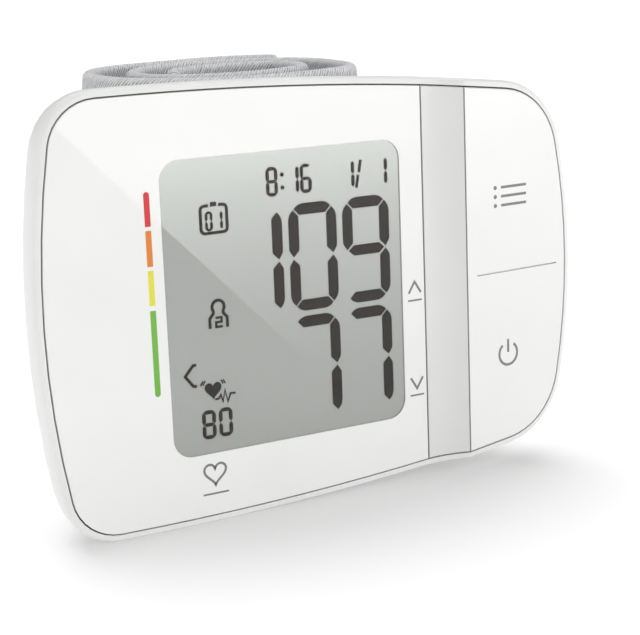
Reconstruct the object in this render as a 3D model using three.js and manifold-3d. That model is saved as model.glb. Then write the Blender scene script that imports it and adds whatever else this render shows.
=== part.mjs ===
// Wrist blood pressure monitor: a two-part case with a display plate, a concave groove and a rocking key
// plate on its front, the pump, valve, sensor and cells inside, and a fabric cuff rolled up behind it.
// Millimetres. +X is to the reader's right, -Y is towards the reader and +Z is up. The display's front face
// lies on y = 0, and the case stands on the lower edge of its rim, on z = 0. Inside the assembly group,
// heights are counted from the middle of the front.

import * as THREE from 'three';
import { mergeVertices } from 'three/addons/utils/BufferGeometryUtils.js';
import Module from 'manifold-3d';

const wasm = await Module();
wasm.setup();

const radians = THREE.MathUtils.degToRad;

// Front outline: four bowed sides and four rounded corners, measured along the middle of the joint line
const frontWidth = 84.55;
const frontHeight = 59.7;
const bowRadius = 490;
const bowTopFromLeft = 18.4;
const leftEndRadius = 131;
const rightEndRadius = 90;
const leftCornerRadius = 7;
const rightCornerRadius = 10.8;

// Case shell
const wall = 1.6;
const joint = 0.22;
const clearance = 0.3;
const seat = 0.1;
const fuse = 0.3;
const lipWall = 1;
const lipReach = 1.4;
const lipStep = 2.5;
const partingDepth = 10;
const rimWidth = 1.15;
const rimDepth = 1.2;
const rimLip = 0.12;
const rimLipWidth = 0.4;
const sideRoundRadius = 17;
const endTaper = radians(34);
const sideTaper = radians(13);
const backEdgeRadius = 5;
const cornerSoftening = 0.2;
const fadeEnd = 1;
const standingFlat = 0.12;

// Display plate, groove and key plate
const plateThickness = 1.5;
const deckThickness = 1.3;
const keyPlateWidth = 19.33;
const keyPlateTilt = radians(4.6);
const grooveWidth = 6.04;
const grooveRise = 2.35;
const grooveStart = radians(6);
const windowWidth = 37.85;
const windowHeight = 41.5;
const windowToGroove = 3.95;
const dividerDrop = 0.6;
const dividerEnd = 1.85;
const dividerWidth = 0.22;
const dividerDepth = 0.4;

// Key rocker and switches
const keyTravel = 0.5;
const keyRibInset = 1.5;
const keyRibEnd = 4;
const pivotRise = 0.2;
const fulcrumRadius = 0.6;
const switchReach = 12;
const switchSize = 6.2;
const switchHeight = 3.4;
const plungerRadius = 1.6;
const plungerProud = 1.2;
const plungerDepth = 1.4;
const keyPostRadius = 1.6;

// Display module
const glassOverlapX = 1.6;
const glassOverlapZ = 2.5;
const glassSheet = 0.95;
const glassLedge = 3;
const frameBorder = 2.5;
const frameCorner = 1.5;
const frameHold = 1.8;
const stripWidth = 2;
const stripInset = 1.5;

// Main board
const boardThickness = 1.6;
const boardFace = 6.6;
const boardRightGap = 3.85;
const boardMargin = 0.25;
const boardCorner = 3;
const boardPostRadius = 2.2;
const boardPostInset = 7;
const chipSize = 10;
const chipThickness = 1.2;
const chipAside = 4;

// Fasteners
const screwRadius = 0.95;
const screwHeadRadius = 1.95;
const screwHeadHeight = 1.3;
const screwBite = 4.5;
const caseScrewBite = 7;
const cuffScrewBite = 3.4;
const bossRadius = 2.4;
const deckSkin = 1;
const leftSeatRise = 1.8;
const tabHalf = 3.4;
const leftScrewInset = 5.85;
const leftScrewZ = 9.5;
const rightScrewInset = 8.85;
const rightScrewZ = 4.5;

// Battery bay, open at the right end where the door closes it
const cellRadius = 5.25;
const cellLength = 44.5;
const cellNubRadius = 1.9;
const cellNubLength = 1;
const cellGap = 0.4;
const cellFrontRoom = 0.45;
const cellBackRoom = 0.95;
const cellFloorRoom = 6.2;
const bayWall = 1;
const bayStep = 0.2;
const endWall = 1.2;
const cradleHalf = 0.75;
const bayEndGap = 2.8;
const doorLength = 14.2;
const contactThickness = 0.4;
const contactInset = 0.7;
const springWire = 0.5;
const springTurns = 3;
const springBase = 3.4;
const springTop = 1.5;
const springLength = 1.5;
const tongueHalf = 2.4;
const tongueReach = 3.2;
const tongueRise = 6;
const tongueThickness = 1;
const linkInset = 1.2;
const linkRib = 0.6;
const gripReaches = [3.2, 5.2, 7.2];
const gripRadius = 0.6;
const gripLength = 14;

// Air system
const motorRadius = 6;
const motorLength = 19;
const motorNeck = 1;
const motorGap = 1;
const pumpSize = 13;
const pumpLength = 12;
const pumpRise = 1.2;
const pumpBackRoom = 0.6;
const cradleInsets = [5, 4];
const valveSize = 7;
const valveLength = 10.5;
const valveInset = 11.85;
const valveRise = 0.3;
const sensorSize = 7;
const sensorHeight = 3.2;
const sensorRise = 4.5;
const sensorReach = 3;
const sensorStubRise = 2.5;
const manifoldSize = 4;
const manifoldProud = 2.5;
const nozzleRise = 3.3;
const nozzleRadius = 1.9;
const flangeWidth = 1.1;
const flangeThickness = 0.9;
const barbRadius = 1;
const barbLength = 2.6;
const tubeBore = 1.35;
const tubeRadius = 2.1;
const tubeRise = 1;

// Cuff, wound up behind the case, and the plate that carries it
const cuffThickness = 2.6;
const cuffWidth = 61.4;
const cuffTopSlope = 0.034;
const cuffLip = 0.8;
const cuffRollX = 8.2;
const cuffHalfWidth = 24.3;
const cuffHalfDepth = 19;
const cuffSquareness = 2.4;
const cuffTurns = 2.4;
const cuffTipAngle = radians(42);
const cuffPitch = 4.5;
const cuffLoosening = 2.4;
const cuffLooseTurn = 0.4;
const cuffInnerPitch = 6.1;
const cuffStepsPerTurn = 40;
const cuffPlateX = 4.1;
const cuffPlateWidth = 44;
const cuffPlateHeight = 34;
const cuffPlateThickness = 2;
const cuffPlateCorner = 5;
const cuffScrewReach = 16.5;
const cuffBossRadius = 2;
const cuffBossHeight = 1.5;
const hookSpread = 16.5;
const hookZ = 13;
const hookHalf = 3;
const hookHeight = 2;
const hookDrop = 2;
const hookLip = 1.3;
const hookStart = 0.02;
const hookLength = 0.13;
const hookThickness = 0.9;
const hookMargin = 5;
const hookEdge = 0.2;

// Places that follow from the sizes above: the front
const frontRight = frontWidth / 2;
const frontLeft = -frontRight;
const bowX = frontLeft + bowTopFromLeft;
const crestX = frontRight - keyPlateWidth;
const grooveX = crestX - grooveWidth;
const windowX = grooveX - windowToGroove - windowWidth / 2;
const keyX = (crestX + frontRight) / 2;
const pivotZ = -dividerDrop;
const caseHalf = frontHeight / 2 + rimWidth;
const middleZ = caseHalf - standingFlat;

// The display module and the board
const glassWidth = windowWidth + 2 * glassOverlapX;
const glassHeight = windowHeight + 2 * glassOverlapZ;
const leftScrewX = frontLeft + leftScrewInset;
const rightScrewX = frontRight - rightScrewInset;
const boardBack = boardFace + boardThickness;
const boardLeft = leftScrewX + bossRadius + clearance;
const boardRight = frontRight - boardRightGap;
const boardHeight = glassHeight - 2 * boardMargin;
const frameOuterX = glassWidth / 2 + frameBorder;
const boardPostReach = frameOuterX + clearance + boardPostRadius;
const boardPostX = [windowX - boardPostReach, windowX + boardPostReach];
const boardPostZ = boardHeight / 2 - boardPostInset;

// The cells, the pump above them, and the depth of case that both need
const rearFace = partingDepth + clearance;
const bayFront = rearFace + bayStep;
const cellY = bayFront + bayWall + cellFrontRoom + cellRadius;
const pumpY = boardBack + clearance + pumpSize / 2;
const innerBack = Math.max(cellY + cellRadius + cellBackRoom, pumpY + pumpSize / 2 + pumpBackRoom);
const caseDepth = innerBack + wall;
const lowerCellZ = cellRadius + cellFloorRoom + wall - frontHeight / 2;
const upperCellZ = lowerCellZ + 2 * cellRadius + cellGap;
const cellsZ = (lowerCellZ + upperCellZ) / 2;
const bayTop = upperCellZ + cellRadius + clearance;
const bayRoof = bayTop + bayWall;
const doorPlane = frontRight - doorLength;
const bayRight = doorPlane - clearance / 2;
const doorLeft = doorPlane + clearance / 2;
const linkRight = doorLeft - seat;
const linkLeft = linkRight - contactThickness;
const cellRight = linkLeft - clearance;
const bayLeft = cellRight - cellLength - bayEndGap;

// The air system, in a row from the left: valve, motor, pump head, manifold and sensor
const valveLeft = frontLeft + valveInset;
const valveLow = bayRoof + valveRise;
const motorLeft = valveLeft + valveSize + motorGap;
const motorRight = motorLeft + motorLength;
const cradleX = [motorLeft + cradleInsets[0], motorRight - cradleInsets[1]];
const pumpHalf = pumpSize / 2;
const pumpZ = bayRoof + pumpRise + pumpHalf;
const pumpLeft = motorRight + seat;
const pumpRight = pumpLeft + pumpLength;
const manifoldLeft = pumpRight + 2 * barbLength + clearance;
const manifoldRight = manifoldLeft + manifoldSize;
const manifoldX = (manifoldLeft + manifoldRight) / 2;
const manifoldLow = bayRoof + 2 * clearance;
const manifoldTop = pumpZ + manifoldProud;
const nozzleZ = manifoldLow + nozzleRise;
const sensorX = manifoldRight + sensorReach;
const sensorZ = pumpZ + sensorRise;
const sensorStubZ = manifoldLow + sensorStubRise;
const tubeRunZ = pumpZ + pumpHalf + tubeRadius + tubeRise;

// The cuff's side of the plate
const cuffPlateBack = caseDepth + seat + cuffPlateThickness;
const cuffFace = cuffPlateBack + clearance;

// Front surface: how far it rises towards the reader at each x
const grooveAngle = Math.atan2(grooveRise, grooveWidth);
const grooveRadius = Math.hypot(grooveRise, grooveWidth) / (2 * Math.sin(grooveAngle - grooveStart));

function frontRise(x) {
  if (x <= grooveX) return 0;
  if (x >= crestX) return grooveRise - (x - crestX) * Math.tan(keyPlateTilt);
  const along = x - grooveX + grooveRadius * Math.sin(grooveStart);
  return grooveRadius * Math.cos(grooveStart) - Math.sqrt(grooveRadius ** 2 - along ** 2);
}

// The key plate is lowest at its right end, so the deck below it lies level behind that end
const keyDeck = plateThickness - frontRise(frontRight) + keyTravel;
const pivotY = keyDeck - pivotRise;

function deckFace(x) {
  return x > crestX ? keyDeck : plateThickness + clearance - frontRise(x);
}

// Side walls curve in behind the rim, run on straight and round off at the back
function wallInset(depth, taper) {
  const run = Math.max(0, depth - rimDepth);
  const arcRun = sideRoundRadius * Math.sin(taper);
  const bent = Math.min(run, arcRun);
  const past = Math.max(0, depth - (caseDepth - backEdgeRadius));
  const arcInset = sideRoundRadius - Math.sqrt(sideRoundRadius ** 2 - bent ** 2);
  const backInset = backEdgeRadius - Math.sqrt(backEdgeRadius ** 2 - past ** 2);
  return arcInset + (run - bent) * Math.tan(taper) + backInset;
}

// Solids and booleans
function solid(geometry) {
  const bare = geometry.clone();
  bare.deleteAttribute('normal');
  bare.deleteAttribute('uv');
  const merged = mergeVertices(bare, 1e-4);
  const mesh = new wasm.Mesh({
    numProp: 3,
    vertProperties: new Float32Array(merged.attributes.position.array),
    triVerts: new Uint32Array(merged.index.array),
  });
  return new wasm.Manifold(mesh);
}

function geometryOf(body) {
  const mesh = body.getMesh();
  const geometry = new THREE.BufferGeometry();
  geometry.setAttribute('position', new THREE.BufferAttribute(mesh.vertProperties, 3));
  geometry.setIndex(new THREE.BufferAttribute(mesh.triVerts, 1));
  geometry.computeVertexNormals();
  return geometry;
}

function box(x0, x1, y0, y1, z0, z1) {
  const geometry = new THREE.BoxGeometry(x1 - x0, y1 - y0, z1 - z0);
  geometry.translate((x0 + x1) / 2, (y0 + y1) / 2, (z0 + z1) / 2);
  return solid(geometry);
}

function rodY(x, z, radius, y0, y1, sides = 20) {
  const geometry = new THREE.CylinderGeometry(radius, radius, y1 - y0, sides);
  geometry.translate(x, (y0 + y1) / 2, z);
  return solid(geometry);
}

function rodX(y, z, radius, x0, x1, sides = 24) {
  const geometry = new THREE.CylinderGeometry(radius, radius, x1 - x0, sides);
  geometry.rotateZ(-Math.PI / 2);
  geometry.translate((x0 + x1) / 2, y, z);
  return solid(geometry);
}

// A plate with rounded corners, standing upright, between two depths
function roundedPlate(x0, x1, z0, z1, corner, y0, y1) {
  const shape = new THREE.Shape();
  shape.moveTo(x0 + corner, z0);
  shape.lineTo(x1 - corner, z0);
  shape.absarc(x1 - corner, z0 + corner, corner, -Math.PI / 2, 0);
  shape.absarc(x1 - corner, z1 - corner, corner, 0, Math.PI / 2);
  shape.absarc(x0 + corner, z1 - corner, corner, Math.PI / 2, Math.PI);
  shape.absarc(x0 + corner, z0 + corner, corner, Math.PI, 1.5 * Math.PI);
  const options = { depth: y1 - y0, bevelEnabled: false, curveSegments: 5 };
  const geometry = new THREE.ExtrudeGeometry(shape, options);
  geometry.rotateX(Math.PI / 2);
  geometry.translate(0, y1, 0);
  return solid(geometry);
}

// A tube along a smooth curve through the given points, with its bore
function tube(points, outer, bore, steps, sides = 4) {
  const path = new THREE.CatmullRomCurve3(points.map((point) => new THREE.Vector3(...point)));
  const shape = new THREE.Shape();
  shape.absarc(0, 0, outer, 0, 2 * Math.PI);
  if (bore > 0) {
    const hole = new THREE.Path();
    hole.absarc(0, 0, bore, 0, 2 * Math.PI, true);
    shape.holes.push(hole);
  }
  const geometry = new THREE.ExtrudeGeometry(shape, { steps, extrudePath: path, curveSegments: sides });
  return solid(geometry);
}

// Outline of the case at one level: upper half from left to right, both ends on the middle line
function insideTangent(first, second, radius) {
  const gap = Math.hypot(second.x - first.x, second.z - first.z);
  const reachOne = first.r - radius;
  const reachTwo = second.r - radius;
  const along = (reachOne ** 2 - reachTwo ** 2 + gap ** 2) / (2 * gap);
  const aside = Math.sqrt(reachOne ** 2 - along ** 2);
  const ux = (second.x - first.x) / gap;
  const uz = (second.z - first.z) / gap;
  const side = ux > 0 ? 1 : -1;
  const x = first.x + ux * along - side * uz * aside;
  const z = first.z + uz * along + side * ux * aside;
  return { x, z, r: radius };
}

function touch(big, small) {
  const gap = Math.hypot(small.x - big.x, small.z - big.z);
  return { x: big.x + ((small.x - big.x) / gap) * big.r, z: big.z + ((small.z - big.z) / gap) * big.r };
}

function arc(circle, from, to, steps) {
  const start = Math.atan2(from.z - circle.z, from.x - circle.x);
  let sweep = Math.atan2(to.z - circle.z, to.x - circle.x) - start;
  if (sweep > 0) sweep -= 2 * Math.PI;
  const points = [];
  for (let step = 0; step <= steps; step += 1) {
    const angle = start + (sweep * step) / steps;
    points.push([circle.x + circle.r * Math.cos(angle), circle.z + circle.r * Math.sin(angle)]);
  }
  return points;
}

// Along the bow, the front levels take extra points in the groove and at its crest, the others are even
const evenSteps = 14;
const bowSteps = 9;
const grooveSteps = 7;
const leftCornerSteps = 8;
const rightCornerSteps = 10;
const endSteps = 4;
const crease = 0.02;

function evenStations(from, to) {
  const count = evenSteps - 1;
  return Array.from({ length: count }, (_, step) => from + ((to - from) * (step + 1)) / evenSteps);
}

function grooveStations(from, to) {
  const stations = [];
  for (let step = 1; step < bowSteps; step += 1) stations.push(from + ((grooveX - from) * step) / bowSteps);
  for (let step = 0; step < grooveSteps; step += 1) {
    stations.push(grooveX + (grooveWidth * step) / grooveSteps);
  }
  stations.push(crestX - crease, crestX + crease, (crestX + to) / 2);
  return stations;
}

function upperOutline({ grow = 0, endInset = 0, sideInset = 0, soften = 0, stations = grooveStations }) {
  const bow = { x: bowX, z: frontHeight / 2 - bowRadius - sideInset, r: bowRadius + grow };
  const leftEnd = { x: frontLeft + leftEndRadius + endInset, z: 0, r: leftEndRadius + grow };
  const rightEnd = { x: frontRight - rightEndRadius - endInset, z: 0, r: rightEndRadius + grow };
  const leftCorner = insideTangent(bow, leftEnd, leftCornerRadius + grow + soften);
  const rightCorner = insideTangent(bow, rightEnd, rightCornerRadius + grow + soften);
  const bowLeft = touch(bow, leftCorner);
  const bowRight = touch(bow, rightCorner);
  const endLeft = touch(leftEnd, leftCorner);
  const endRight = touch(rightEnd, rightCorner);
  const bowPoints = stations(bowLeft.x, bowRight.x).map((x) => [
    x,
    bow.z + Math.sqrt(bow.r ** 2 - (x - bow.x) ** 2),
  ]);
  return [
    ...arc(leftEnd, { x: leftEnd.x - leftEnd.r, z: 0 }, endLeft, endSteps).slice(0, -1),
    ...arc(leftCorner, endLeft, bowLeft, leftCornerSteps),
    ...bowPoints,
    ...arc(rightCorner, bowRight, endRight, rightCornerSteps),
    ...arc(rightEnd, endRight, { x: rightEnd.x + rightEnd.r, z: 0 }, endSteps).slice(1),
  ];
}

// A loft through outlines from front to back: each level has its outline and a depth that may follow x
function loft(levels) {
  const positions = [];
  const triangles = [];
  const count = levels[0].upper.length;
  const ring = 2 * count - 2;
  for (const { upper, depth } of levels) {
    const lower = upper.slice(1, -1).reverse().map(([x, z]) => [x, -z]);
    for (const [x, z] of [...upper, ...lower]) positions.push(x, depth(x), z);
  }
  for (let level = 0; level < levels.length - 1; level += 1) {
    for (let spot = 0; spot < ring; spot += 1) {
      const here = level * ring + spot;
      const next = level * ring + ((spot + 1) % ring);
      triangles.push(here, next, here + ring, next, next + ring, here + ring);
    }
  }
  const mirror = (spot) => (ring - spot) % ring;
  const last = (levels.length - 1) * ring;
  for (let spot = 0; spot < count - 1; spot += 1) {
    const right = spot + 1;
    const strip = [[spot, right, mirror(right)], [spot, mirror(right), mirror(spot)]];
    for (const [a, b, c] of strip) {
      if (a !== b && b !== c && c !== a) triangles.push(a, c, b, last + a, last + b, last + c);
    }
  }
  const geometry = new THREE.BufferGeometry();
  geometry.setAttribute('position', new THREE.Float32BufferAttribute(positions, 3));
  geometry.setIndex(triangles);
  return solid(geometry);
}

// One level of the case, 'grow' outside the joint line, at a depth that can follow the front surface
function level(depth, grow, stations = evenStations, follow = 0) {
  const endInset = wallInset(depth, endTaper);
  const sideInset = wallInset(depth, sideTaper);
  const upper = upperOutline({ grow, endInset, sideInset, soften: cornerSoftening * endInset, stations });
  return { upper, depth: (x) => depth - follow * frontRise(x) };
}

// One level of the flat front outline, at a depth given for each x
function frontLevel(grow, depth) {
  return { upper: upperOutline({ grow }), depth };
}

function frontFade(depth) {
  return 1 - THREE.MathUtils.clamp((depth - rimDepth) / (partingDepth - fadeEnd - rimDepth), 0, 1);
}

const far = 60;
const innerGrow = rimWidth - wall;
const lipGrow = innerGrow - clearance;

// Pieces and their materials
const assembly = new THREE.Group();
assembly.name = 'monitor';
assembly.position.z = middleZ;

function add(name, body, color, roughness, metalness = 0) {
  const material = new THREE.MeshStandardMaterial({ color, roughness, metalness });
  const mesh = new THREE.Mesh(body.isBufferGeometry ? body : geometryOf(body), material);
  mesh.name = name;
  assembly.add(mesh);
}

const white = 0xf1f1ef;
const softWhite = 0xe4e4e2;
const steel = 0xb9bcc0;
const silicone = 0xdcdad2;

// A pan-head screw along Y, its head towards the back, with a cross recess
const recessWidth = 0.5;
const recessReach = 1.2;
const recessDepth = 0.7;

function screw(x, z, seatY, bite) {
  const headTop = seatY + screwHeadHeight;
  const body = rodY(x, z, screwRadius, seatY - bite, seatY + fuse, 12).add(
    rodY(x, z, screwHeadRadius, seatY, headTop, 18),
  );
  const half = recessWidth / 2;
  const cutLow = headTop - recessDepth;
  const cutHigh = headTop + 1;
  return body
    .subtract(box(x - recessReach, x + recessReach, cutLow, cutHigh, z - half, z + half))
    .subtract(box(x - half, x + half, cutLow, cutHigh, z - recessReach, z + recessReach));
}

const screwHole = screwRadius + clearance;

// Front plates: one sheet that follows the front surface, split at both sides of the groove
const plateEdge = 0.15;
const sheet = loft([
  frontLevel(-joint / 2 - plateEdge, (x) => -frontRise(x)),
  frontLevel(-joint / 2, (x) => plateEdge - frontRise(x)),
  frontLevel(-joint / 2, (x) => plateThickness - frontRise(x)),
]);
const displayPlate = sheet.intersect(box(-far, grooveX - joint / 2, -far, far, -far, far));
const grooveTrim = sheet.intersect(box(grooveX + joint / 2, crestX - joint / 2, -far, far, -far, far));

const switchZ = { upper: pivotZ + switchReach, lower: pivotZ - switchReach };
const switchBack = boardFace - seat;
const switchFront = switchBack - switchHeight;
const plungerTop = switchFront - plungerProud;
const ribLeft = crestX + keyRibInset;
const ribRight = frontRight - keyRibEnd;

let keyPlate = sheet.intersect(box(crestX + joint / 2, far, -far, far, -far, far));
const keyRoot = plateThickness / 2 - frontRise(keyX);
keyPlate = keyPlate.add(
  box(ribLeft, ribRight, keyRoot, pivotY, pivotZ - fulcrumRadius, pivotZ + fulcrumRadius),
);
keyPlate = keyPlate.add(rodX(pivotY, pivotZ, fulcrumRadius, ribLeft, ribRight, 16));
for (const z of Object.values(switchZ)) {
  keyPlate = keyPlate.add(rodY(keyX, z, keyPostRadius, keyRoot, plungerTop - clearance));
}
const dividerLow = pivotZ - dividerWidth / 2;
const dividerHigh = pivotZ + dividerWidth / 2;
const dividerLine = loft([
  frontLevel(0, (x) => -1 - frontRise(x)),
  frontLevel(0, (x) => dividerDepth - frontRise(x)),
]).intersect(box(crestX + dividerEnd, frontRight - dividerEnd, -far, far, dividerLow, dividerHigh));
keyPlate = keyPlate.subtract(dividerLine);

// Front housing: rounded rim, side walls, and a deck that carries the plates, the display and the board
const rimLevels = [level(rimLip, joint / 2, grooveStations, 1)];
const lipEdge = joint / 2 + rimLipWidth;
for (let step = 0; step <= 3; step += 1) {
  const angle = (step * Math.PI) / 6;
  const grow = lipEdge + (rimWidth - lipEdge) * Math.sin(angle);
  const depth = rimDepth - (rimDepth - rimLip) * Math.cos(angle);
  rimLevels.push(level(depth, grow, grooveStations, 1));
}
for (const share of [0.2, 0.45, 0.72, 1]) {
  const depth = rimDepth + share * (partingDepth - rimDepth);
  rimLevels.push(level(depth, rimWidth, grooveStations, frontFade(depth)));
}

const pocket = loft([frontLevel(joint / 2, () => -far / 2), frontLevel(joint / 2, deckFace)]);
const deckBack = (x) => deckFace(x) + deckThickness;
const displayDeckBack = plateThickness + clearance + deckThickness;
const frontCavity = loft([
  { ...level(displayDeckBack, innerGrow, grooveStations), depth: deckBack },
  level(displayDeckBack + 0.45 * (partingDepth - displayDeckBack), innerGrow, grooveStations),
  level(partingDepth - lipReach, innerGrow, grooveStations),
  level(partingDepth + 1, innerGrow, grooveStations),
]);

const glassFront = plateThickness + clearance;
const glassBack = glassFront + 2 * glassSheet;
const glassLeft = windowX - glassWidth / 2;
const glassRight = windowX + glassWidth / 2;

let frontHousing = loft(rimLevels).subtract(pocket).subtract(frontCavity);
frontHousing = frontHousing.subtract(
  box(
    glassLeft - clearance,
    glassRight + clearance,
    -far,
    far,
    -glassHeight / 2 - clearance,
    glassHeight / 2 + clearance,
  ),
);
const caseScrews = [
  [leftScrewX, leftScrewZ],
  [leftScrewX, -leftScrewZ],
  [rightScrewX, rightScrewZ],
];
for (const x of boardPostX) {
  for (const z of [-boardPostZ, boardPostZ]) {
    frontHousing = frontHousing.add(rodY(x, z, boardPostRadius, deckBack(x) - fuse, boardFace - seat));
  }
  frontHousing = frontHousing.subtract(
    rodY(x, -boardPostZ, screwHole, boardBack - screwBite - clearance, far, 12),
  );
}
for (const [x, z] of caseScrews) {
  frontHousing = frontHousing
    .add(rodY(x, z, bossRadius, deckBack(x) - fuse, partingDepth - seat))
    .subtract(rodY(x, z, screwHole, deckBack(x) + deckSkin, far, 12));
}
for (const z of Object.values(switchZ)) {
  frontHousing = frontHousing.subtract(rodY(keyX, z, keyPostRadius + 2 * clearance, -1, switchFront));
}
frontHousing = frontHousing.subtract(
  rodX(pivotY, pivotZ, fulcrumRadius + clearance, ribLeft - clearance, ribRight + clearance, 16),
);
frontHousing = frontHousing.subtract(box(-far, far, -far, far, -far, -middleZ));

// What lies inside the front housing stays clear of its walls
const insideOutline = level(boardBack, lipGrow);
const insideTrim = loft([
  { ...insideOutline, depth: () => 0 },
  { ...insideOutline, depth: () => boardBack + 1 },
]);

// Display module
const ledgeZ = -glassHeight / 2 + glassLedge;
const lcdGlass = box(
  glassLeft,
  glassRight,
  glassFront,
  glassFront + glassSheet,
  -glassHeight / 2,
  glassHeight / 2,
).add(box(glassLeft, glassRight, glassFront + glassSheet - seat, glassBack, ledgeZ, glassHeight / 2));

const stripX = glassWidth / 2 - stripInset;
const stripLow = -glassHeight / 2 + (glassLedge - stripWidth) / 2;
const contactStrip = box(
  windowX - stripX,
  windowX + stripX,
  glassFront + glassSheet + seat,
  boardFace - seat,
  stripLow,
  stripLow + stripWidth,
);

const frameFront = displayDeckBack + seat;
const frameOuterZ = glassHeight / 2 + frameBorder / 2;
const frameSeat = glassBack + seat;
let lcdFrame = roundedPlate(
  windowX - frameOuterX,
  windowX + frameOuterX,
  -frameOuterZ,
  frameOuterZ,
  frameCorner,
  frameFront,
  boardFace - seat,
);
lcdFrame = lcdFrame
  .subtract(
    box(
      glassLeft - clearance,
      glassRight + clearance,
      0,
      frameSeat,
      -glassHeight / 2 - clearance,
      glassHeight / 2 + clearance,
    ),
  )
  .subtract(
    box(
      glassLeft + frameHold,
      glassRight - frameHold,
      0,
      far,
      ledgeZ + frameHold,
      glassHeight / 2 - frameHold,
    ),
  )
  .subtract(
    box(
      windowX - stripX - clearance,
      windowX + stripX + clearance,
      0,
      far,
      stripLow - clearance,
      stripLow + stripWidth + clearance,
    ),
  )
  .intersect(insideTrim);

// Main board
let mainBoard = roundedPlate(
  boardLeft,
  boardRight,
  -boardHeight / 2,
  boardHeight / 2,
  boardCorner,
  boardFace,
  boardBack,
).intersect(insideTrim);
for (const x of boardPostX) mainBoard = mainBoard.subtract(rodY(x, -boardPostZ, screwHole, 0, far, 12));
mainBoard = mainBoard.subtract(rodY(rightScrewX, rightScrewZ, bossRadius + clearance, 0, far));

const chipFace = boardBack + seat;
const chipX = windowX + chipAside;
const controllerChip = box(
  chipX - chipSize / 2,
  chipX + chipSize / 2,
  chipFace,
  chipFace + chipThickness,
  cellsZ - chipSize / 2,
  cellsZ + chipSize / 2,
);

function switchBody(z) {
  const half = switchSize / 2;
  const body = box(keyX - half, keyX + half, switchFront, switchBack, z - half, z + half);
  const holeBack = switchFront + plungerDepth + 2 * clearance;
  return body.subtract(rodY(keyX, z, plungerRadius + clearance, 0, holeBack, 18));
}

function plunger(z) {
  return rodY(keyX, z, plungerRadius, plungerTop, switchFront + plungerDepth, 18);
}

// Rear housing: tapered walls, a lip inside the front housing, the battery bay and the screw seats
const rearLevels = [];
for (const share of [0, 0.25, 0.5, 0.75, 1]) {
  rearLevels.push(level(rearFace + share * (caseDepth - backEdgeRadius - rearFace), rimWidth));
}
for (const share of [0.5, 0.8, 0.96, 1]) {
  rearLevels.push(level(caseDepth - backEdgeRadius + share * backEdgeRadius, rimWidth));
}
const rearOuter = loft(rearLevels);

function rearInside(extra) {
  const middle = rearFace + lipStep;
  const lipInside = lipGrow - lipWall + extra;
  const inside = innerGrow + extra;
  return loft([
    level(partingDepth - 2 * lipReach, lipInside),
    level(rearFace + 2 * clearance, lipInside),
    level(middle, inside),
    level((middle + caseDepth - backEdgeRadius) / 2, inside),
    level(caseDepth - backEdgeRadius, inside),
    { ...level(innerBack - wall / 4, inside), depth: () => innerBack + extra },
  ]);
}
const rearCavity = rearInside(0);
const rearRibs = rearInside(fuse).intersect(box(-far, far, rearFace, far, -far, far));
const rearLip = loft([level(partingDepth - lipReach, lipGrow), level(rearFace + fuse, lipGrow)]);

const bayLid = bayFront + bayWall;
let bay = box(bayLeft - bayWall, bayRight, bayFront, far, bayTop, bayRoof)
  .add(box(bayLeft - bayWall, bayLeft, bayFront, far, -far, bayRoof))
  .add(box(bayLeft - bayWall, bayRight, bayFront, bayLid, -far, bayRoof))
  .add(box(bayRight - endWall, bayRight, rearFace, far, bayTop, far));
const cradleFront = pumpY + motorRadius / 3;
for (const x of cradleX) {
  bay = bay.add(
    box(x - cradleHalf, x + cradleHalf, cradleFront, far, pumpZ - motorRadius, pumpZ + motorRadius).subtract(
      rodX(pumpY, pumpZ, motorRadius + clearance, x - 1, x + 1, 32),
    ),
  );
}
const cuffScrewX = [cuffPlateX - cuffScrewReach, cuffPlateX + cuffScrewReach];
const cuffBossFace = innerBack - cuffBossHeight;
for (const x of cuffScrewX) bay = bay.add(rodY(x, cellsZ, cuffBossRadius, cuffBossFace, far));

const leftSeatY = rearFace + leftSeatRise;
const tabBack = rearFace + wall;
let rearHousing = rearOuter.add(rearLip).subtract(rearCavity).add(bay.intersect(rearRibs));
for (const [x, z] of caseScrews.slice(0, 2)) {
  const post = rodY(x, z, bossRadius + 1, rearFace, far).intersect(rearOuter);
  rearHousing = rearHousing
    .subtract(rodY(x, z, bossRadius + clearance, 0, rearFace))
    .add(post)
    .subtract(rodY(x, z, screwHeadRadius + clearance, leftSeatY, far))
    .subtract(rodY(x, z, screwHole, 0, far, 12));
}
rearHousing = rearHousing.subtract(box(doorPlane - clearance / 2, far, -far, far, -far, far));
rearHousing = rearHousing
  .add(
    box(
      bayRight - endWall,
      rightScrewX + tabHalf,
      rearFace,
      tabBack,
      rightScrewZ - tabHalf,
      rightScrewZ + tabHalf,
    ),
  )
  .subtract(rodY(rightScrewX, rightScrewZ, screwHole, 0, far, 12));

rearHousing = rearHousing.subtract(rodX(cellY, lowerCellZ, cellRadius + clearance, bayLeft, far, 32));

// Slots for the door's tongues and the cuff plate's hooks, and a hole for the air nozzle
const tongueBack = innerBack - clearance;
const tongueFront = tongueBack - tongueThickness;
const tongueZ = [cellsZ, bayRoof + tongueRise];
for (const z of tongueZ) {
  rearHousing = rearHousing.subtract(
    box(
      bayRight - endWall - 1,
      bayRight + 1,
      tongueFront - clearance,
      innerBack,
      z - tongueHalf - clearance,
      z + tongueHalf + clearance,
    ),
  );
}
const hookX = [cuffPlateX - hookSpread, cuffPlateX + hookSpread];
const hookTop = hookZ + hookHeight;
const hookFront = innerBack - 1;
for (const x of hookX) {
  const slotHalf = hookHalf + clearance;
  const lipRoom = hookTop + hookLip + clearance;
  rearHousing = rearHousing
    .subtract(box(x - slotHalf, x + slotHalf, hookFront, far, hookZ - hookDrop, hookTop + clearance))
    .subtract(box(x - slotHalf, x + slotHalf, hookFront - clearance, innerBack, hookZ - hookDrop, lipRoom));
}
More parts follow.
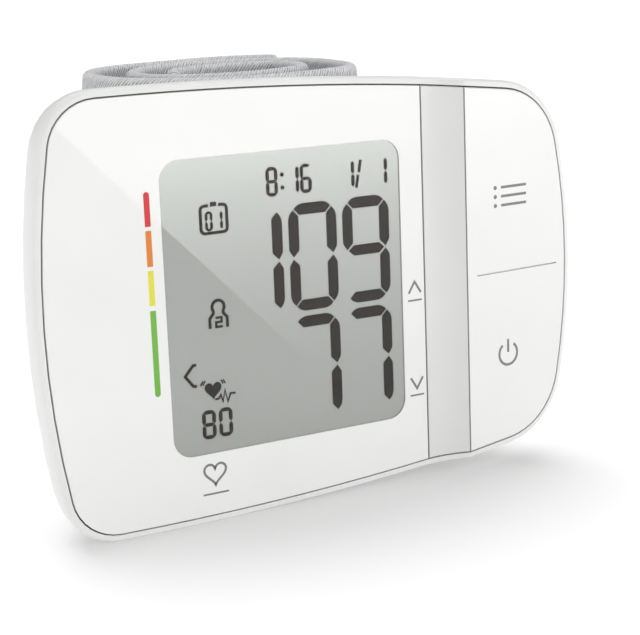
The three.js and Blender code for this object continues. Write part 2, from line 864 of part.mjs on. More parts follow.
rearHousing = rearHousing.subtract(rodY(manifoldX, nozzleZ, nozzleRadius + clearance, innerBack - 1, far));

// Battery door: the right end of the rear shell, with tongues, grip grooves and a seat for the link plate
let batteryDoor = rearOuter
  .subtract(rearCavity)
  .intersect(box(doorLeft, far, -far, far, -far, far));
const linkLow = lowerCellZ - cellRadius + linkInset;
const linkHigh = upperCellZ + cellRadius - linkInset;
const linkFront = cellY - cellRadius + linkInset;
const linkBack = cellY + cellRadius - linkInset;
let linkSeat = box(doorLeft, doorLeft + endWall, linkFront, linkBack, linkLow, linkHigh);
for (const z of [lowerCellZ, upperCellZ]) {
  linkSeat = linkSeat.add(box(doorLeft, far, linkFront, linkBack, z - linkRib, z + linkRib));
}
batteryDoor = batteryDoor.add(linkSeat.intersect(rearRibs));
for (const z of tongueZ) {
  const low = z - tongueHalf;
  const high = z + tongueHalf;
  const root = box(doorLeft, doorLeft + wall, tongueFront, far, low, high).intersect(rearRibs);
  const tongue = box(doorLeft - tongueReach, doorLeft + 1, tongueFront, tongueBack, low, high);
  batteryDoor = batteryDoor.add(root).add(tongue);
}
for (const reach of gripReaches) {
  const depth = rearFace + reach;
  const surface = frontRight + rimWidth - wallInset(depth, endTaper);
  const groove = new THREE.CylinderGeometry(gripRadius, gripRadius, gripLength, 12);
  groove.rotateX(Math.PI / 2);
  groove.translate(surface, depth, 0);
  batteryDoor = batteryDoor.subtract(solid(groove));
}

// Cells lie head to tail; contacts at the left end and a link plate on the door
function cell(z, nubAtLeft) {
  const left = cellRight - cellLength;
  const bodyLeft = nubAtLeft ? left + cellNubLength : left;
  const bodyRight = nubAtLeft ? cellRight : cellRight - cellNubLength;
  return rodX(cellY, z, cellRadius, bodyLeft, bodyRight, 32).add(
    rodX(cellY, z, cellNubRadius, left, cellRight, 16),
  );
}

const contactLeft = bayLeft + seat;
const contactRight = contactLeft + contactThickness;
const contactHalf = cellRadius - contactInset;

function contactPlate(z) {
  const low = z - contactHalf;
  const high = z + contactHalf;
  return box(contactLeft, contactRight, cellY - contactHalf, cellY + contactHalf, low, high);
}

class ConicalHelix extends THREE.Curve {
  getPoint(share) {
    const angle = 2 * Math.PI * springTurns * share;
    const radius = springBase + (springTop - springBase) * share;
    const x = contactRight + springWire / 3 + springLength * share;
    return new THREE.Vector3(x, cellY + radius * Math.cos(angle), upperCellZ + radius * Math.sin(angle));
  }
}
const springShape = new THREE.Shape();
springShape.absarc(0, 0, springWire / 2, 0, 2 * Math.PI);
const springGeometry = new THREE.ExtrudeGeometry(springShape, {
  steps: 16 * springTurns,
  curveSegments: 3,
  extrudePath: new ConicalHelix(),
});
const springContact = contactPlate(upperCellZ).add(solid(springGeometry));
const dimpleReach = bayEndGap - contactThickness - 2 * seat - clearance;
const flatContact = contactPlate(lowerCellZ).add(
  rodX(cellY, lowerCellZ, cellNubRadius, contactRight - seat, contactRight + dimpleReach, 16),
);
const batteryLink = box(
  linkLeft,
  linkRight,
  linkFront + linkRib,
  linkBack - linkRib,
  linkLow + linkInset,
  linkHigh - linkInset,
);

// Air system: motor and pump head, release valve, sensor, manifold and silicone tubes
const manifoldFront = pumpY - manifoldSize / 2;
const manifoldBack = pumpY + manifoldSize / 2;

const pumpMotor = rodX(pumpY, pumpZ, motorRadius, motorLeft + motorNeck, motorRight, 28).add(
  rodX(pumpY, pumpZ, motorRadius / 2, motorLeft, motorLeft + motorNeck + fuse, 16),
);
const pumpHead = box(
  pumpLeft,
  pumpRight,
  pumpY - pumpHalf,
  pumpY + pumpHalf,
  pumpZ - pumpHalf,
  pumpZ + pumpHalf,
).add(rodX(pumpY, pumpZ, barbRadius, pumpRight - fuse, pumpRight + barbLength, 12));

const valveX = valveLeft + valveSize / 2;
const valveY = boardBack + seat + valveSize / 2;
const valveTop = valveLow + valveLength;

function rodZ(x, y, radius, z0, z1, sides = 12) {
  const geometry = new THREE.CylinderGeometry(radius, radius, z1 - z0, sides);
  geometry.rotateX(Math.PI / 2);
  geometry.translate(x, y, (z0 + z1) / 2);
  return solid(geometry);
}

const releaseValve = box(
  valveLeft,
  valveLeft + valveSize,
  valveY - valveSize / 2,
  valveY + valveSize / 2,
  valveLow,
  valveTop,
).add(rodZ(valveX, valveY, barbRadius, valveTop - fuse, valveTop + barbLength));

const sensorFace = boardBack + seat;
const sensorBack = sensorFace + sensorHeight;
const sensorHalf = sensorSize / 2;
const pressureSensor = box(
  sensorX - sensorHalf,
  sensorX + sensorHalf,
  sensorFace,
  sensorBack,
  sensorZ - sensorHalf,
  sensorZ + sensorHalf,
).add(rodY(sensorX, sensorZ, barbRadius, sensorBack - fuse, sensorBack + barbLength, 12));

const airManifold = box(manifoldLeft, manifoldRight, manifoldFront, manifoldBack, manifoldLow, manifoldTop)
  .add(rodX(pumpY, pumpZ, barbRadius, manifoldLeft - barbLength, manifoldLeft + fuse, 12))
  .add(rodX(pumpY, sensorStubZ, barbRadius, manifoldRight - fuse, manifoldRight + barbLength, 12))
  .add(rodY(manifoldX, nozzleZ, barbRadius, manifoldBack - fuse, manifoldBack + barbLength, 12))
  .add(rodZ(manifoldX, pumpY, barbRadius, manifoldTop - fuse, manifoldTop + barbLength));

const flangeBack = innerBack - seat;
const flangeFront = flangeBack - flangeThickness;
const nozzleInner = manifoldBack + barbLength + clearance;
const airNozzle = rodY(manifoldX, nozzleZ, barbRadius, nozzleInner, flangeFront + fuse, 12)
  .add(rodY(manifoldX, nozzleZ, nozzleRadius + flangeWidth, flangeFront, flangeBack))
  .add(rodY(manifoldX, nozzleZ, nozzleRadius, flangeBack - fuse, cuffPlateBack))
  .subtract(rodY(manifoldX, nozzleZ, barbRadius / 2, 0, far, 8));

const tubePump = tube(
  [
    [pumpRight + clearance, pumpY, pumpZ],
    [(pumpRight + manifoldLeft) / 2, pumpY, pumpZ],
    [manifoldLeft - clearance, pumpY, pumpZ],
  ],
  tubeRadius,
  tubeBore,
  2,
);
const tubeCuff = tube(
  [
    [manifoldX, manifoldBack + clearance, nozzleZ],
    [manifoldX, (manifoldBack + flangeFront) / 2, nozzleZ],
    [manifoldX, flangeFront - clearance, nozzleZ],
  ],
  tubeRadius,
  tubeBore,
  2,
);
const bend = 2.2;
const tubeValve = tube(
  [
    [valveX, valveY, valveTop + clearance],
    [valveX, valveY, valveTop + barbLength / 2],
    [valveX, valveY, valveTop + barbLength],
    [valveX + bend / 2, valveY, tubeRunZ - bend / 2],
    [valveX + 2 * bend, valveY, tubeRunZ],
    [motorLeft + motorLength / 2, (valveY + pumpY) / 2, tubeRunZ],
    [manifoldX - 2 * bend, pumpY, tubeRunZ],
    [manifoldX - bend / 2, pumpY, tubeRunZ - bend / 2],
    [manifoldX, pumpY, manifoldTop + barbLength],
    [manifoldX, pumpY, manifoldTop + barbLength / 2],
    [manifoldX, pumpY, manifoldTop + clearance],
  ],
  tubeRadius,
  tubeBore,
  30,
);
const stubEnd = manifoldRight + barbLength;
const tubeSensor = tube(
  [
    [manifoldRight + clearance, pumpY, sensorStubZ],
    [manifoldRight + barbLength / 2, pumpY, sensorStubZ],
    [stubEnd, pumpY, sensorStubZ],
    [stubEnd + bend, pumpY + bend / 2, sensorStubZ + bend],
    [stubEnd + bend, pumpY + bend, (sensorStubZ + sensorZ) / 2],
    [sensorX + bend / 2, pumpY + 1.5 * bend, sensorZ - bend],
    [sensorX, pumpY + bend / 2, sensorZ],
    [sensorX, sensorBack + barbLength, sensorZ],
    [sensorX, sensorBack + barbLength / 2, sensorZ],
    [sensorX, sensorBack + clearance, sensorZ],
  ],
  tubeRadius,
  tubeBore,
  22,
);

// Cuff plate on the back of the case: two hooks at the top, two screws below
let cuffPlate = roundedPlate(
  cuffPlateX - cuffPlateWidth / 2,
  cuffPlateX + cuffPlateWidth / 2,
  -cuffPlateHeight / 2,
  cuffPlateHeight / 2,
  cuffPlateCorner,
  caseDepth + seat,
  cuffPlateBack,
);
for (const x of hookX) {
  cuffPlate = cuffPlate
    .add(box(x - hookHalf, x + hookHalf, hookFront, caseDepth + 1, hookZ, hookTop))
    .add(box(x - hookHalf, x + hookHalf, hookFront, innerBack - clearance, hookZ, hookTop + hookLip));
}
const cuffScrewSeat = cuffPlateBack - screwHeadHeight - seat;
for (const x of cuffScrewX) {
  cuffPlate = cuffPlate
    .subtract(rodY(x, cellsZ, screwHeadRadius + clearance, cuffScrewSeat - seat, far))
    .subtract(rodY(x, cellsZ, screwHole, 0, far, 12));
  rearHousing = rearHousing.subtract(rodY(x, cellsZ, screwHole, cuffBossFace - 1, far, 12));
}
cuffPlate = cuffPlate.subtract(rodY(manifoldX, nozzleZ, nozzleRadius + clearance, 0, far));

// Cuff: one padded band wound inwards from its free end at the back, first turn close, inner turns loose
function cuffOffset(turn) {
  const loosened = THREE.MathUtils.smoothstep(turn, 1, 1 + cuffLooseTurn);
  const inner = Math.max(0, turn - 1 - cuffLooseTurn);
  return cuffPitch * turn + cuffLoosening * loosened + (cuffInnerPitch - cuffPitch) * inner;
}

const frontTurn = (1.5 * Math.PI - cuffTipAngle) / (2 * Math.PI);
const cuffCentreY = cuffFace + cuffThickness / 2 + cuffHalfDepth - cuffOffset(frontTurn);
const cuffBackY = cuffCentreY + cuffHalfDepth;
const cuffLow = -middleZ;

function cuffLine(turn) {
  const angle = cuffTipAngle + 2 * Math.PI * turn;
  const across = Math.abs(Math.cos(angle)) / (cuffHalfWidth - cuffOffset(turn));
  const along = Math.abs(Math.sin(angle)) / (cuffHalfDepth - cuffOffset(turn));
  const reach = (across ** cuffSquareness + along ** cuffSquareness) ** (-1 / cuffSquareness);
  return new THREE.Vector2(cuffRollX + reach * Math.cos(angle), cuffCentreY + reach * Math.sin(angle));
}

// Points of the line between two turns, moved to the inside of the roll by 'inward'
function cuffRun(from, to, steps, inward) {
  const points = [];
  const nudge = 0.002;
  for (let step = 0; step <= steps; step += 1) {
    const turn = from + ((to - from) * step) / steps;
    const ahead = cuffLine(turn + nudge).sub(cuffLine(turn - nudge)).normalize();
    const point = cuffLine(turn);
    points.push(new THREE.Vector2(point.x - ahead.y * inward, point.y + ahead.x * inward));
  }
  return points;
}

function roundEnd(from, to) {
  const middle = from.clone().add(to).multiplyScalar(0.5);
  const points = [];
  for (const share of [0.25, 0.5, 0.75]) {
    const spoke = from.clone().sub(middle).rotateAround(new THREE.Vector2(), Math.PI * share);
    points.push(middle.clone().add(spoke));
  }
  return points;
}

// A band between two heights; its upper edge slopes down towards the case
function band(from, to, steps, inward, thickness, low, high, lip) {
  const outer = cuffRun(from, to, steps, inward - thickness / 2);
  const inner = cuffRun(from, to, steps, inward + thickness / 2).reverse();
  const tail = roundEnd(outer[steps], inner[0]);
  const tip = roundEnd(inner[steps], outer[0]);
  const shape = new THREE.Shape([...outer, ...tail, ...inner, ...tip]);
  const geometry = new THREE.ExtrudeGeometry(shape, {
    depth: high - low - 2 * lip,
    bevelEnabled: true,
    bevelThickness: lip,
    bevelSize: lip,
    bevelOffset: -lip,
    bevelSegments: 2,
  });
  geometry.translate(0, 0, low + lip);
  const spots = geometry.attributes.position;
  for (let spot = 0; spot < spots.count; spot += 1) {
    const drop = cuffTopSlope * (cuffBackY - spots.getY(spot));
    const share = (spots.getZ(spot) - cuffLow) / cuffWidth;
    spots.setZ(spot, spots.getZ(spot) - drop * share);
  }
  return solid(geometry);
}

const cuffHigh = cuffLow + cuffWidth;
const cuffSteps = Math.round(cuffTurns * cuffStepsPerTurn);
const cuffBand = band(0, cuffTurns, cuffSteps, 0, cuffThickness, cuffLow, cuffHigh, cuffLip);
const hookStrip = band(
  hookStart,
  hookStart + hookLength,
  8,
  cuffThickness / 2 + seat + hookThickness / 2,
  hookThickness,
  cuffLow + hookMargin,
  cuffHigh - hookMargin,
  hookEdge,
);

// Least gap between the turns of the roll, measured on points of its line
function leastTurnGap() {
  const points = cuffRun(0, cuffTurns, cuffSteps * 4, 0);
  const apart = cuffStepsPerTurn * 2;
  let least = Infinity;
  for (let one = 0; one < points.length; one += 1) {
    for (let two = one + apart; two < points.length; two += 1) {
      least = Math.min(least, points[one].distanceTo(points[two]));
    }
  }
  return least - cuffThickness;
}
console.log('least gap between turns of the cuff', leastTurnGap().toFixed(2), 'mm');

add('front_housing', frontHousing, softWhite, 0.45);
add('rear_housing', rearHousing, softWhite, 0.5);
add('battery_door', batteryDoor, softWhite, 0.5);
add('display_plate', displayPlate, white, 0.2);
add('groove_trim', grooveTrim, softWhite, 0.4);
add('key_plate', keyPlate, white, 0.25);
add('lcd_glass', lcdGlass, 0xb9bbb7, 0.15);
add('lcd_frame', lcdFrame, 0xd8d8d4, 0.6);
add('contact_strip', contactStrip, 0x8e8a86, 0.8);
add('main_board', mainBoard, 0x2f6b3f, 0.6);
add('controller_chip', controllerChip, 0x222326, 0.5);
add('switch_upper', switchBody(switchZ.upper), 0x2b2c2e, 0.55);
add('switch_lower', switchBody(switchZ.lower), 0x2b2c2e, 0.55);
add('plunger_upper', plunger(switchZ.upper), 0xc9c7c0, 0.5);
add('plunger_lower', plunger(switchZ.lower), 0xc9c7c0, 0.5);
add('board_screw_left', screw(boardPostX[0], -boardPostZ, boardBack + seat, screwBite), steel, 0.35, 0.9);
add('board_screw_right', screw(boardPostX[1], -boardPostZ, boardBack + seat, screwBite), steel, 0.35, 0.9);
add('case_screw_upper', screw(leftScrewX, leftScrewZ, leftSeatY + seat, caseScrewBite), steel, 0.35, 0.9);
add('case_screw_lower', screw(leftScrewX, -leftScrewZ, leftSeatY + seat, caseScrewBite), steel, 0.35, 0.9);
add('case_screw_right', screw(rightScrewX, rightScrewZ, tabBack + seat, caseScrewBite), steel, 0.35, 0.9);
add('pump_motor', pumpMotor, 0xa9acb0, 0.35, 0.8);
add('pump_head', pumpHead, 0x3a3c40, 0.6);
add('release_valve', releaseValve, 0x4a4c50, 0.5);
add('pressure_sensor', pressureSensor, 0x2e2f33, 0.5);
add('air_manifold', airManifold, 0xcfd2d4, 0.5);
add('tube_pump', tubePump, silicone, 0.5);
add('tube_valve', tubeValve, silicone, 0.5);
add('tube_sensor', tubeSensor, silicone, 0.5);
add('tube_cuff', tubeCuff, silicone, 0.5);
add('air_nozzle', airNozzle, 0xcfd2d4, 0.5);
add('cell_upper', cell(upperCellZ, false), 0x8d9196, 0.35, 0.6);
add('cell_lower', cell(lowerCellZ, true), 0x8d9196, 0.35, 0.6);
add('spring_contact', springContact, steel, 0.3, 0.95);
add('flat_contact', flatContact, steel, 0.3, 0.95);
add('battery_link', batteryLink, steel, 0.3, 0.95);
add('cuff_plate', cuffPlate, 0xd5d6d6, 0.55);
add('cuff_screw_left', screw(cuffScrewX[0], cellsZ, cuffScrewSeat, cuffScrewBite), steel, 0.35, 0.9);
add('cuff_screw_right', screw(cuffScrewX[1], cellsZ, cuffScrewSeat, cuffScrewBite), steel, 0.35, 0.9);
add('cuff_band', cuffBand, 0xb4b6b9, 0.95);
add('hook_strip', hookStrip, 0x9fa2a6, 0.9);

// Bring the assembly over the middle of its own footprint
const whole = new THREE.Group();
whole.name = 'wrist_monitor';
whole.add(assembly);
whole.updateMatrixWorld(true);
const bounds = new THREE.Box3().setFromObject(whole, true);
assembly.position.x -= (bounds.min.x + bounds.max.x) / 2;
assembly.position.y -= (bounds.min.y + bounds.max.y) / 2;
whole.updateMatrixWorld(true);

export default whole;
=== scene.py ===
"""Wrist blood pressure monitor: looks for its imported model, in millimetres unless a name says otherwise."""

import math
from bisect import bisect_right

import bmesh
import bpy
from mathutils import Matrix, Vector, noise


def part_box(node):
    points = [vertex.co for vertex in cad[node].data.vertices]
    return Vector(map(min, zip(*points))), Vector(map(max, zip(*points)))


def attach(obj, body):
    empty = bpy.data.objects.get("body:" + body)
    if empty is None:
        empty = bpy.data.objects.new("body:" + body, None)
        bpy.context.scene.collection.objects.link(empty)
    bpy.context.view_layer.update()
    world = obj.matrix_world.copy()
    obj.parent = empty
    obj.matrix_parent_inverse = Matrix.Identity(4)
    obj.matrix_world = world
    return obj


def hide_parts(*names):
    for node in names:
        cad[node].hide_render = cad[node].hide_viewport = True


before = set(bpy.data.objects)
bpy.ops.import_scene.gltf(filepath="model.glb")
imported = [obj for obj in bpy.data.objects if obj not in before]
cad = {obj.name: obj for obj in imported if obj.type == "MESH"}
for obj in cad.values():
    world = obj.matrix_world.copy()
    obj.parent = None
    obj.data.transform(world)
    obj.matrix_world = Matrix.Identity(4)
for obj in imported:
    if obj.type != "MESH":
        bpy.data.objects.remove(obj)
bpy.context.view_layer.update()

MM = 0.001
scene = bpy.context.scene

# Places on the front are counted from an upright line this far right of the display plate's left edge,
# from the display's face, and from half the plate's height
LINE_FROM_LEFT = 41.74
plate_low, plate_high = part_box("display_plate")
LINE_X = plate_low.x + LINE_FROM_LEFT * MM
FACE_Y = plate_low.y
MIDDLE_Z = (plate_low.z + plate_high.z) / 2


def front(x, depth, z):
    """A point of the frame, from its place on the front and its depth behind the display's face."""
    return Vector((LINE_X + x * MM, FACE_Y + depth * MM, MIDDLE_Z + z * MM))


# Camera
IMAGE_WIDTH = 640
FOCAL_PIXELS = 1626.34
SENSOR = 36
NEAREST_SEEN_M = 0.01
CAMERA_PLACE = (-110.94, -199.18, 45.06)
CAMERA_RIGHT = Vector((0.87028, -0.49112, -0.0375))
CAMERA_DOWN = Vector((-0.135, -0.16462, -0.97707))


def photo_camera():
    """A camera at the photograph's place and angle."""
    lens = bpy.data.cameras.new("photo_lens")
    lens.sensor_fit = "HORIZONTAL"
    lens.sensor_width = SENSOR
    lens.lens = FOCAL_PIXELS * SENSOR / IMAGE_WIDTH
    lens.clip_start = NEAREST_SEEN_M
    camera = bpy.data.objects.new("photo_camera", lens)
    scene.collection.objects.link(camera)
    across = CAMERA_RIGHT.normalized()
    up = (-CAMERA_DOWN - across * across.dot(-CAMERA_DOWN)).normalized()
    turn = Matrix((across, up, across.cross(up))).transposed()
    camera.matrix_world = Matrix.Translation(front(*CAMERA_PLACE)) @ turn.to_4x4()
    scene.camera = camera


photo_camera()


# Helpers for materials
def linear(code):
    """An sRGB hex colour as the linear colour that shaders take."""
    shares = [int(code[spot:spot + 2], 16) / 255 for spot in (0, 2, 4)]
    curve = [s / 12.92 if s <= 0.04045 else ((s + 0.055) / 1.055) ** 2.4 for s in shares]
    return (*curve, 1.0)


def add_node(tree, kind, values=None, links=None, stops=(), **settings):
    """One node: its settings, its values, links as input: (node, output), and a ramp's (place, colour)."""
    made = tree.nodes.new(kind)
    for name, value in settings.items():
        setattr(made, name, value)
    for name, value in (values or {}).items():
        made.inputs[name].default_value = value
    for name, (source, output) in (links or {}).items():
        tree.links.new(source.outputs[output], made.inputs[name])
    for spot, (place, code) in enumerate(stops):
        made.color_ramp.elements[spot].position = place
        made.color_ramp.elements[spot].color = linear(code)
    return made


def empty_tree(holder):
    """The node tree of a new material or world, with nothing in it."""
    holder.use_nodes = True
    holder.node_tree.nodes.clear()
    return holder.node_tree


def new_finish(name):
    """A material and its empty node tree."""
    finish = bpy.data.materials.new(name)
    return finish, empty_tree(finish)


def shade(tree, links, **values):
    """Ends a material with a Principled shader: links to its sockets, and values on its own sockets."""
    sockets = {key.replace("_", " "): value for key, value in values.items()}
    shader = add_node(tree, "ShaderNodeBsdfPrincipled", sockets, links)
    add_node(tree, "ShaderNodeOutputMaterial", links={"Surface": (shader, "BSDF")})


def per_mm(size):
    """Texture scale at which a pattern repeats every so many millimetres."""
    return 1 / (size * MM)


# The values of a noise keep to this middle part of their range
NOISE_LOW, NOISE_HIGH = 0.3, 0.7


def mottle(tree, dark, light, size, detail, stretch=(1, 1, 1)):
    """Soft spots so many millimetres wide: how strong they are, and their colour between two tones."""
    place = add_node(tree, "ShaderNodeTexCoord")
    drawn = add_node(tree, "ShaderNodeMapping", {"Scale": stretch}, {"Vector": (place, "Object")})
    spots = add_node(
        tree, "ShaderNodeTexNoise", {"Scale": per_mm(size), "Detail": detail}, {"Vector": (drawn, "Vector")}
    )
    stops = [(NOISE_LOW, dark), (NOISE_HIGH, light)]
    ramp = add_node(tree, "ShaderNodeValToRGB", links={"Fac": (spots, "Fac")}, stops=stops)
    return (spots, "Fac"), (ramp, "Color")


# Plastics; a spread is how far roughness varies to each side
FLOW_PATCH = 14.0
PLASTIC_SPREAD = 0.03
# Facings at which a cut edge turns from its greyer tone (bare core and painted shade of the joints) to the
# face tone
EDGE_BARE_SHADED, EDGE_PRINTED = 0.3, 0.6


def cut_edges_gap_shade(tree, face, edge_core_and_shade):
    """A plate's colour: the tone of its face, and on the cut edges, which face sideways, a greyer tone:
    partly the bare core, partly painted shade that darkens the joints.
    """
    shape = add_node(tree, "ShaderNodeNewGeometry")
    split = add_node(tree, "ShaderNodeSeparateXYZ", links={"Vector": (shape, "True Normal")})
    facing = add_node(tree, "ShaderNodeMath", links={0: (split, "Y")}, operation="ABSOLUTE")
    limits = {"From Min": EDGE_BARE_SHADED, "From Max": EDGE_PRINTED}
    printed = add_node(tree, "ShaderNodeMapRange", limits, {"Value": (facing, "Value")})
    mixed = add_node(
        tree, "ShaderNodeMix", {6: linear(edge_core_and_shade)}, {0: (printed, "Result"), 7: face}, data_type="RGBA"
    )
    return mixed, 2


def moulded_plastic(name, dark, light, roughness, grain, grain_depth, edge_core_and_shade=None, **values):
    """Injection-moulded plastic: an even tone with faint flow patches and the grain of the mould."""
    finish, tree = new_finish(name)
    patches, colour = mottle(tree, dark, light, size=FLOW_PATCH, detail=2)
    # Painted shade: sideways cut edges take a greyer tone that darkens the joints between plates
    if edge_core_and_shade:
        colour = cut_edges_gap_shade(tree, colour, edge_core_and_shade)
    limits = {"To Min": roughness - PLASTIC_SPREAD, "To Max": roughness + PLASTIC_SPREAD}
    gloss = add_node(tree, "ShaderNodeMapRange", limits, {"Value": patches})
    place = add_node(tree, "ShaderNodeTexCoord")
    grains = add_node(
        tree, "ShaderNodeTexNoise", {"Scale": per_mm(grain), "Detail": 1.0}, {"Vector": (place, "Object")}
    )
    relief = add_node(tree, "ShaderNodeBump", {"Distance": grain_depth * MM}, {"Height": (grains, "Fac")})
    links = {"Base Color": colour, "Roughness": (gloss, "Result"), "Normal": (relief, "Normal")}
    shade(tree, links, **values)
    return finish


# Acrylic plates printed white on their backs: a hard mirror image over an even white, greyer at cut edges,
# partly the bare acrylic and partly painted shade that darkens the joints
gloss_white = moulded_plastic(
    "back_printed_acrylic", "EFEFED", "F2F2F0", 0.035, 6.0, 0.0002, edge_core_and_shade="DFE0E0", IOR=1.49
)
# Spark-eroded ABS of the shells: a soft sheen from a fine grain, which is drawn at 0.35 mm so that it shows
satin_abs = moulded_plastic("satin_white_abs", "E9E9E8", "EDEDEC", 0.42, 0.35, 0.004, IOR=1.53)
# The trim in the groove comes from a smoother mould; its greyer tone is painted shade of the groove, and its
# cut edges carry painted shade of the joints
trim_abs = moulded_plastic(
    "smooth_white_abs", "E2E2E1", "E6E6E5", 0.24, 0.5, 0.0015, edge_core_and_shade="D2D3D3", IOR=1.53
)
# Glass-filled nylon of the cuff plate and light frames: duller, with a coarser grain
grey_nylon = moulded_plastic("grey_nylon", "C9CACA", "D0D1D1", 0.5, 0.5, 0.006)
# PBT of switches and pump parts: dark with a soft shine
black_pbt = moulded_plastic("black_pbt", "26272A", "2E2F33", 0.42, 0.3, 0.004)
# POM of the switch plungers: cream, slippery, with a fine grain
cream_pom = moulded_plastic("cream_pom", "CBC8BF", "D2CFC6", 0.35, 0.4, 0.002)


# Display glass and inks
def clear_acrylic():
    """Acrylic with a hard coat that cuts its gleam: what lies behind shows, its face mirrors a little."""
    finish, tree = new_finish("clear_acrylic")
    gleam = add_node(tree, "ShaderNodeFresnel", {"IOR": 1.25})
    clear = add_node(tree, "ShaderNodeBsdfTransparent", {"Color": linear("FBFCFB")})
    mirror = add_node(tree, "ShaderNodeBsdfGlossy", {"Roughness": 0.03})
    coated = add_node(
        tree, "ShaderNodeMixShader", links={0: (gleam, "Fac"), 1: (clear, "BSDF"), 2: (mirror, "BSDF")}
    )
    shape = add_node(tree, "ShaderNodeNewGeometry")
    pane = add_node(
        tree,
        "ShaderNodeMixShader",
        links={0: (shape, "Backfacing"), 1: (coated, "Shader"), 2: (clear, "BSDF")},
    )
    add_node(tree, "ShaderNodeOutputMaterial", links={"Surface": (pane, "Shader")})
    return finish


def lcd_reflector():
    """Liquid crystal cell: grey, with a half mirror behind the crystal that carries the room's image."""
    finish, tree = new_finish("lcd_reflector")
    _, colour = mottle(tree, "9B9B99", "A1A19F", size=0.12, detail=2)
    shade(tree, {"Base Color": colour}, Roughness=0.012, IOR=2.4)
    return finish


def ink(name, dark, light, roughness=0.5):
    """A printed or switched-on layer: flat colour with the small unevenness of a thin film."""
    finish, tree = new_finish(name)
    _, colour = mottle(tree, dark, light, size=0.3, detail=1)
    shade(tree, {"Base Color": colour}, Roughness=roughness, IOR=1.5)
    return finish


acrylic = clear_acrylic()
lcd_film = lcd_reflector()
segment_ink = ink("lcd_segment", "2D2524", "342B2A", 0.8)
grey_print = ink("grey_screen_print", "757779", "808284")
red_print = ink("red_screen_print", "D5272B", "DA2F32")
orange_print = ink("orange_screen_print", "E17C24", "E4832B")
yellow_print = ink("yellow_screen_print", "E2DC40", "E5E048")
green_print = ink("green_screen_print", "6EB13A", "76B940")

# Helpers for pieces and flat marks
WELD_M = 1e-7
LEAST_MITRE = 0.5


def piece(name, form, finishes, body, stands_for=None, smooth=False):
    """Turns a bmesh into a finished piece that rides on a body."""
    mesh = bpy.data.meshes.new(name)
    form.to_mesh(mesh)
    form.free()
    for face in mesh.polygons:
        face.use_smooth = smooth
    for finish in finishes:
        mesh.materials.append(finish)
    made = bpy.data.objects.new(name, mesh)
    scene.collection.objects.link(made)
    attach(made, body)
    if stands_for:
        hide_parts(stands_for)
    return made


def mark(form, outline, depth, coat=0):
    """A flat face on the front from an outline of (x, z) points, at one depth."""
    corners = [form.verts.new(front(x, depth, z)) for x, z in outline]
    face = form.faces.new(corners)
    face.material_index = coat
    return face


def ribbon(form, points, width, depth, closed=False):
    """A flat line of even width along (x, z) points, mitred at its corners."""
    spots = [Vector(point) for point in points]
    count = len(spots)
    pairs = []
    for spot, here in enumerate(spots):
        ways = []
        if spot or closed:
            ways.append((here - spots[spot - 1]).normalized())
        if spot < count - 1 or closed:
            ways.append((spots[(spot + 1) % count] - here).normalized())
        along = sum(ways, Vector((0, 0))).normalized()
        side = Vector((-along.y, along.x))
        lean = max(LEAST_MITRE, side.dot(Vector((-ways[0].y, ways[0].x))))
        reach = side * (width / 2 / lean)
        pairs.append([form.verts.new(front(end.x, depth, end.y)) for end in (here + reach, here - reach)])
    for spot in range(count if closed else count - 1):
        one, two = pairs[spot], pairs[(spot + 1) % count]
        form.faces.new((one[0], one[1], two[1], two[0]))


def arc(x, z, radius, start, end, steps):
    """Points of an arc, angles in degrees."""
    angles = [math.radians(start + (end - start) * step / steps) for step in range(steps + 1)]
    return [(x + radius * math.cos(angle), z + radius * math.sin(angle)) for angle in angles]


def dot(form, x, z, radius, depth):
    """A small round mark."""
    mark(form, arc(x, z, radius, 0, 330, 11), depth)


def thicken(form, thickness):
    """Gives flat marks their thickness, away from the reader, with all faces outwards."""
    grown = bmesh.ops.extrude_face_region(form, geom=form.faces[:])
    verts = [part for part in grown["geom"] if isinstance(part, bmesh.types.BMVert)]
    bmesh.ops.translate(form, verts=verts, vec=(0, thickness * MM, 0))
    bmesh.ops.recalc_face_normals(form, faces=form.faces)


def round_off(form, parts, radius, steps, affect="EDGES"):
    """Rounds edges of a form, or corners of a face."""
    bmesh.ops.bevel(
        form,
        geom=parts,
        offset=radius,
        segments=steps,
        profile=0.5,
        affect=affect,
        clamp_overlap=True,
        material=-1,
    )


# Display plate: white round a window; the clear plate brings the glass up to the eye, so the pane is thin
# and the front film of the liquid crystal cell stands up into the window right behind it
WINDOW_LEFT, WINDOW_RIGHT = -24.45, 13.40
WINDOW_LOW, WINDOW_HIGH = -20.75, 20.78
WINDOW_CORNER = 2.9
CORNER_STEPS = 10
PANE_THICKNESS = 0.12
PANE_GAP = 0.01
PLATE_EDGE = 0.15
PLATE_THICKNESS = (plate_high.y - plate_low.y) / MM
FACES_BACK = 0.99
GLASS_DEPTH = (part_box("lcd_glass")[0].y - FACE_Y) / MM
CELL_DEPTH = 0.2
CELL_SEAT = 0.05


def window_loop(form, grow=0.0):
    """The window's rounded outline as one face in the display's plane."""
    left, right = WINDOW_LEFT - grow, WINDOW_RIGHT + grow
    low, high = WINDOW_LOW - grow, WINDOW_HIGH + grow
    face = mark(form, [(left, low), (right, low), (right, high), (left, high)], 0)
    round_off(form, list(face.verts), (WINDOW_CORNER + grow) * MM, CORNER_STEPS, affect="VERTICES")


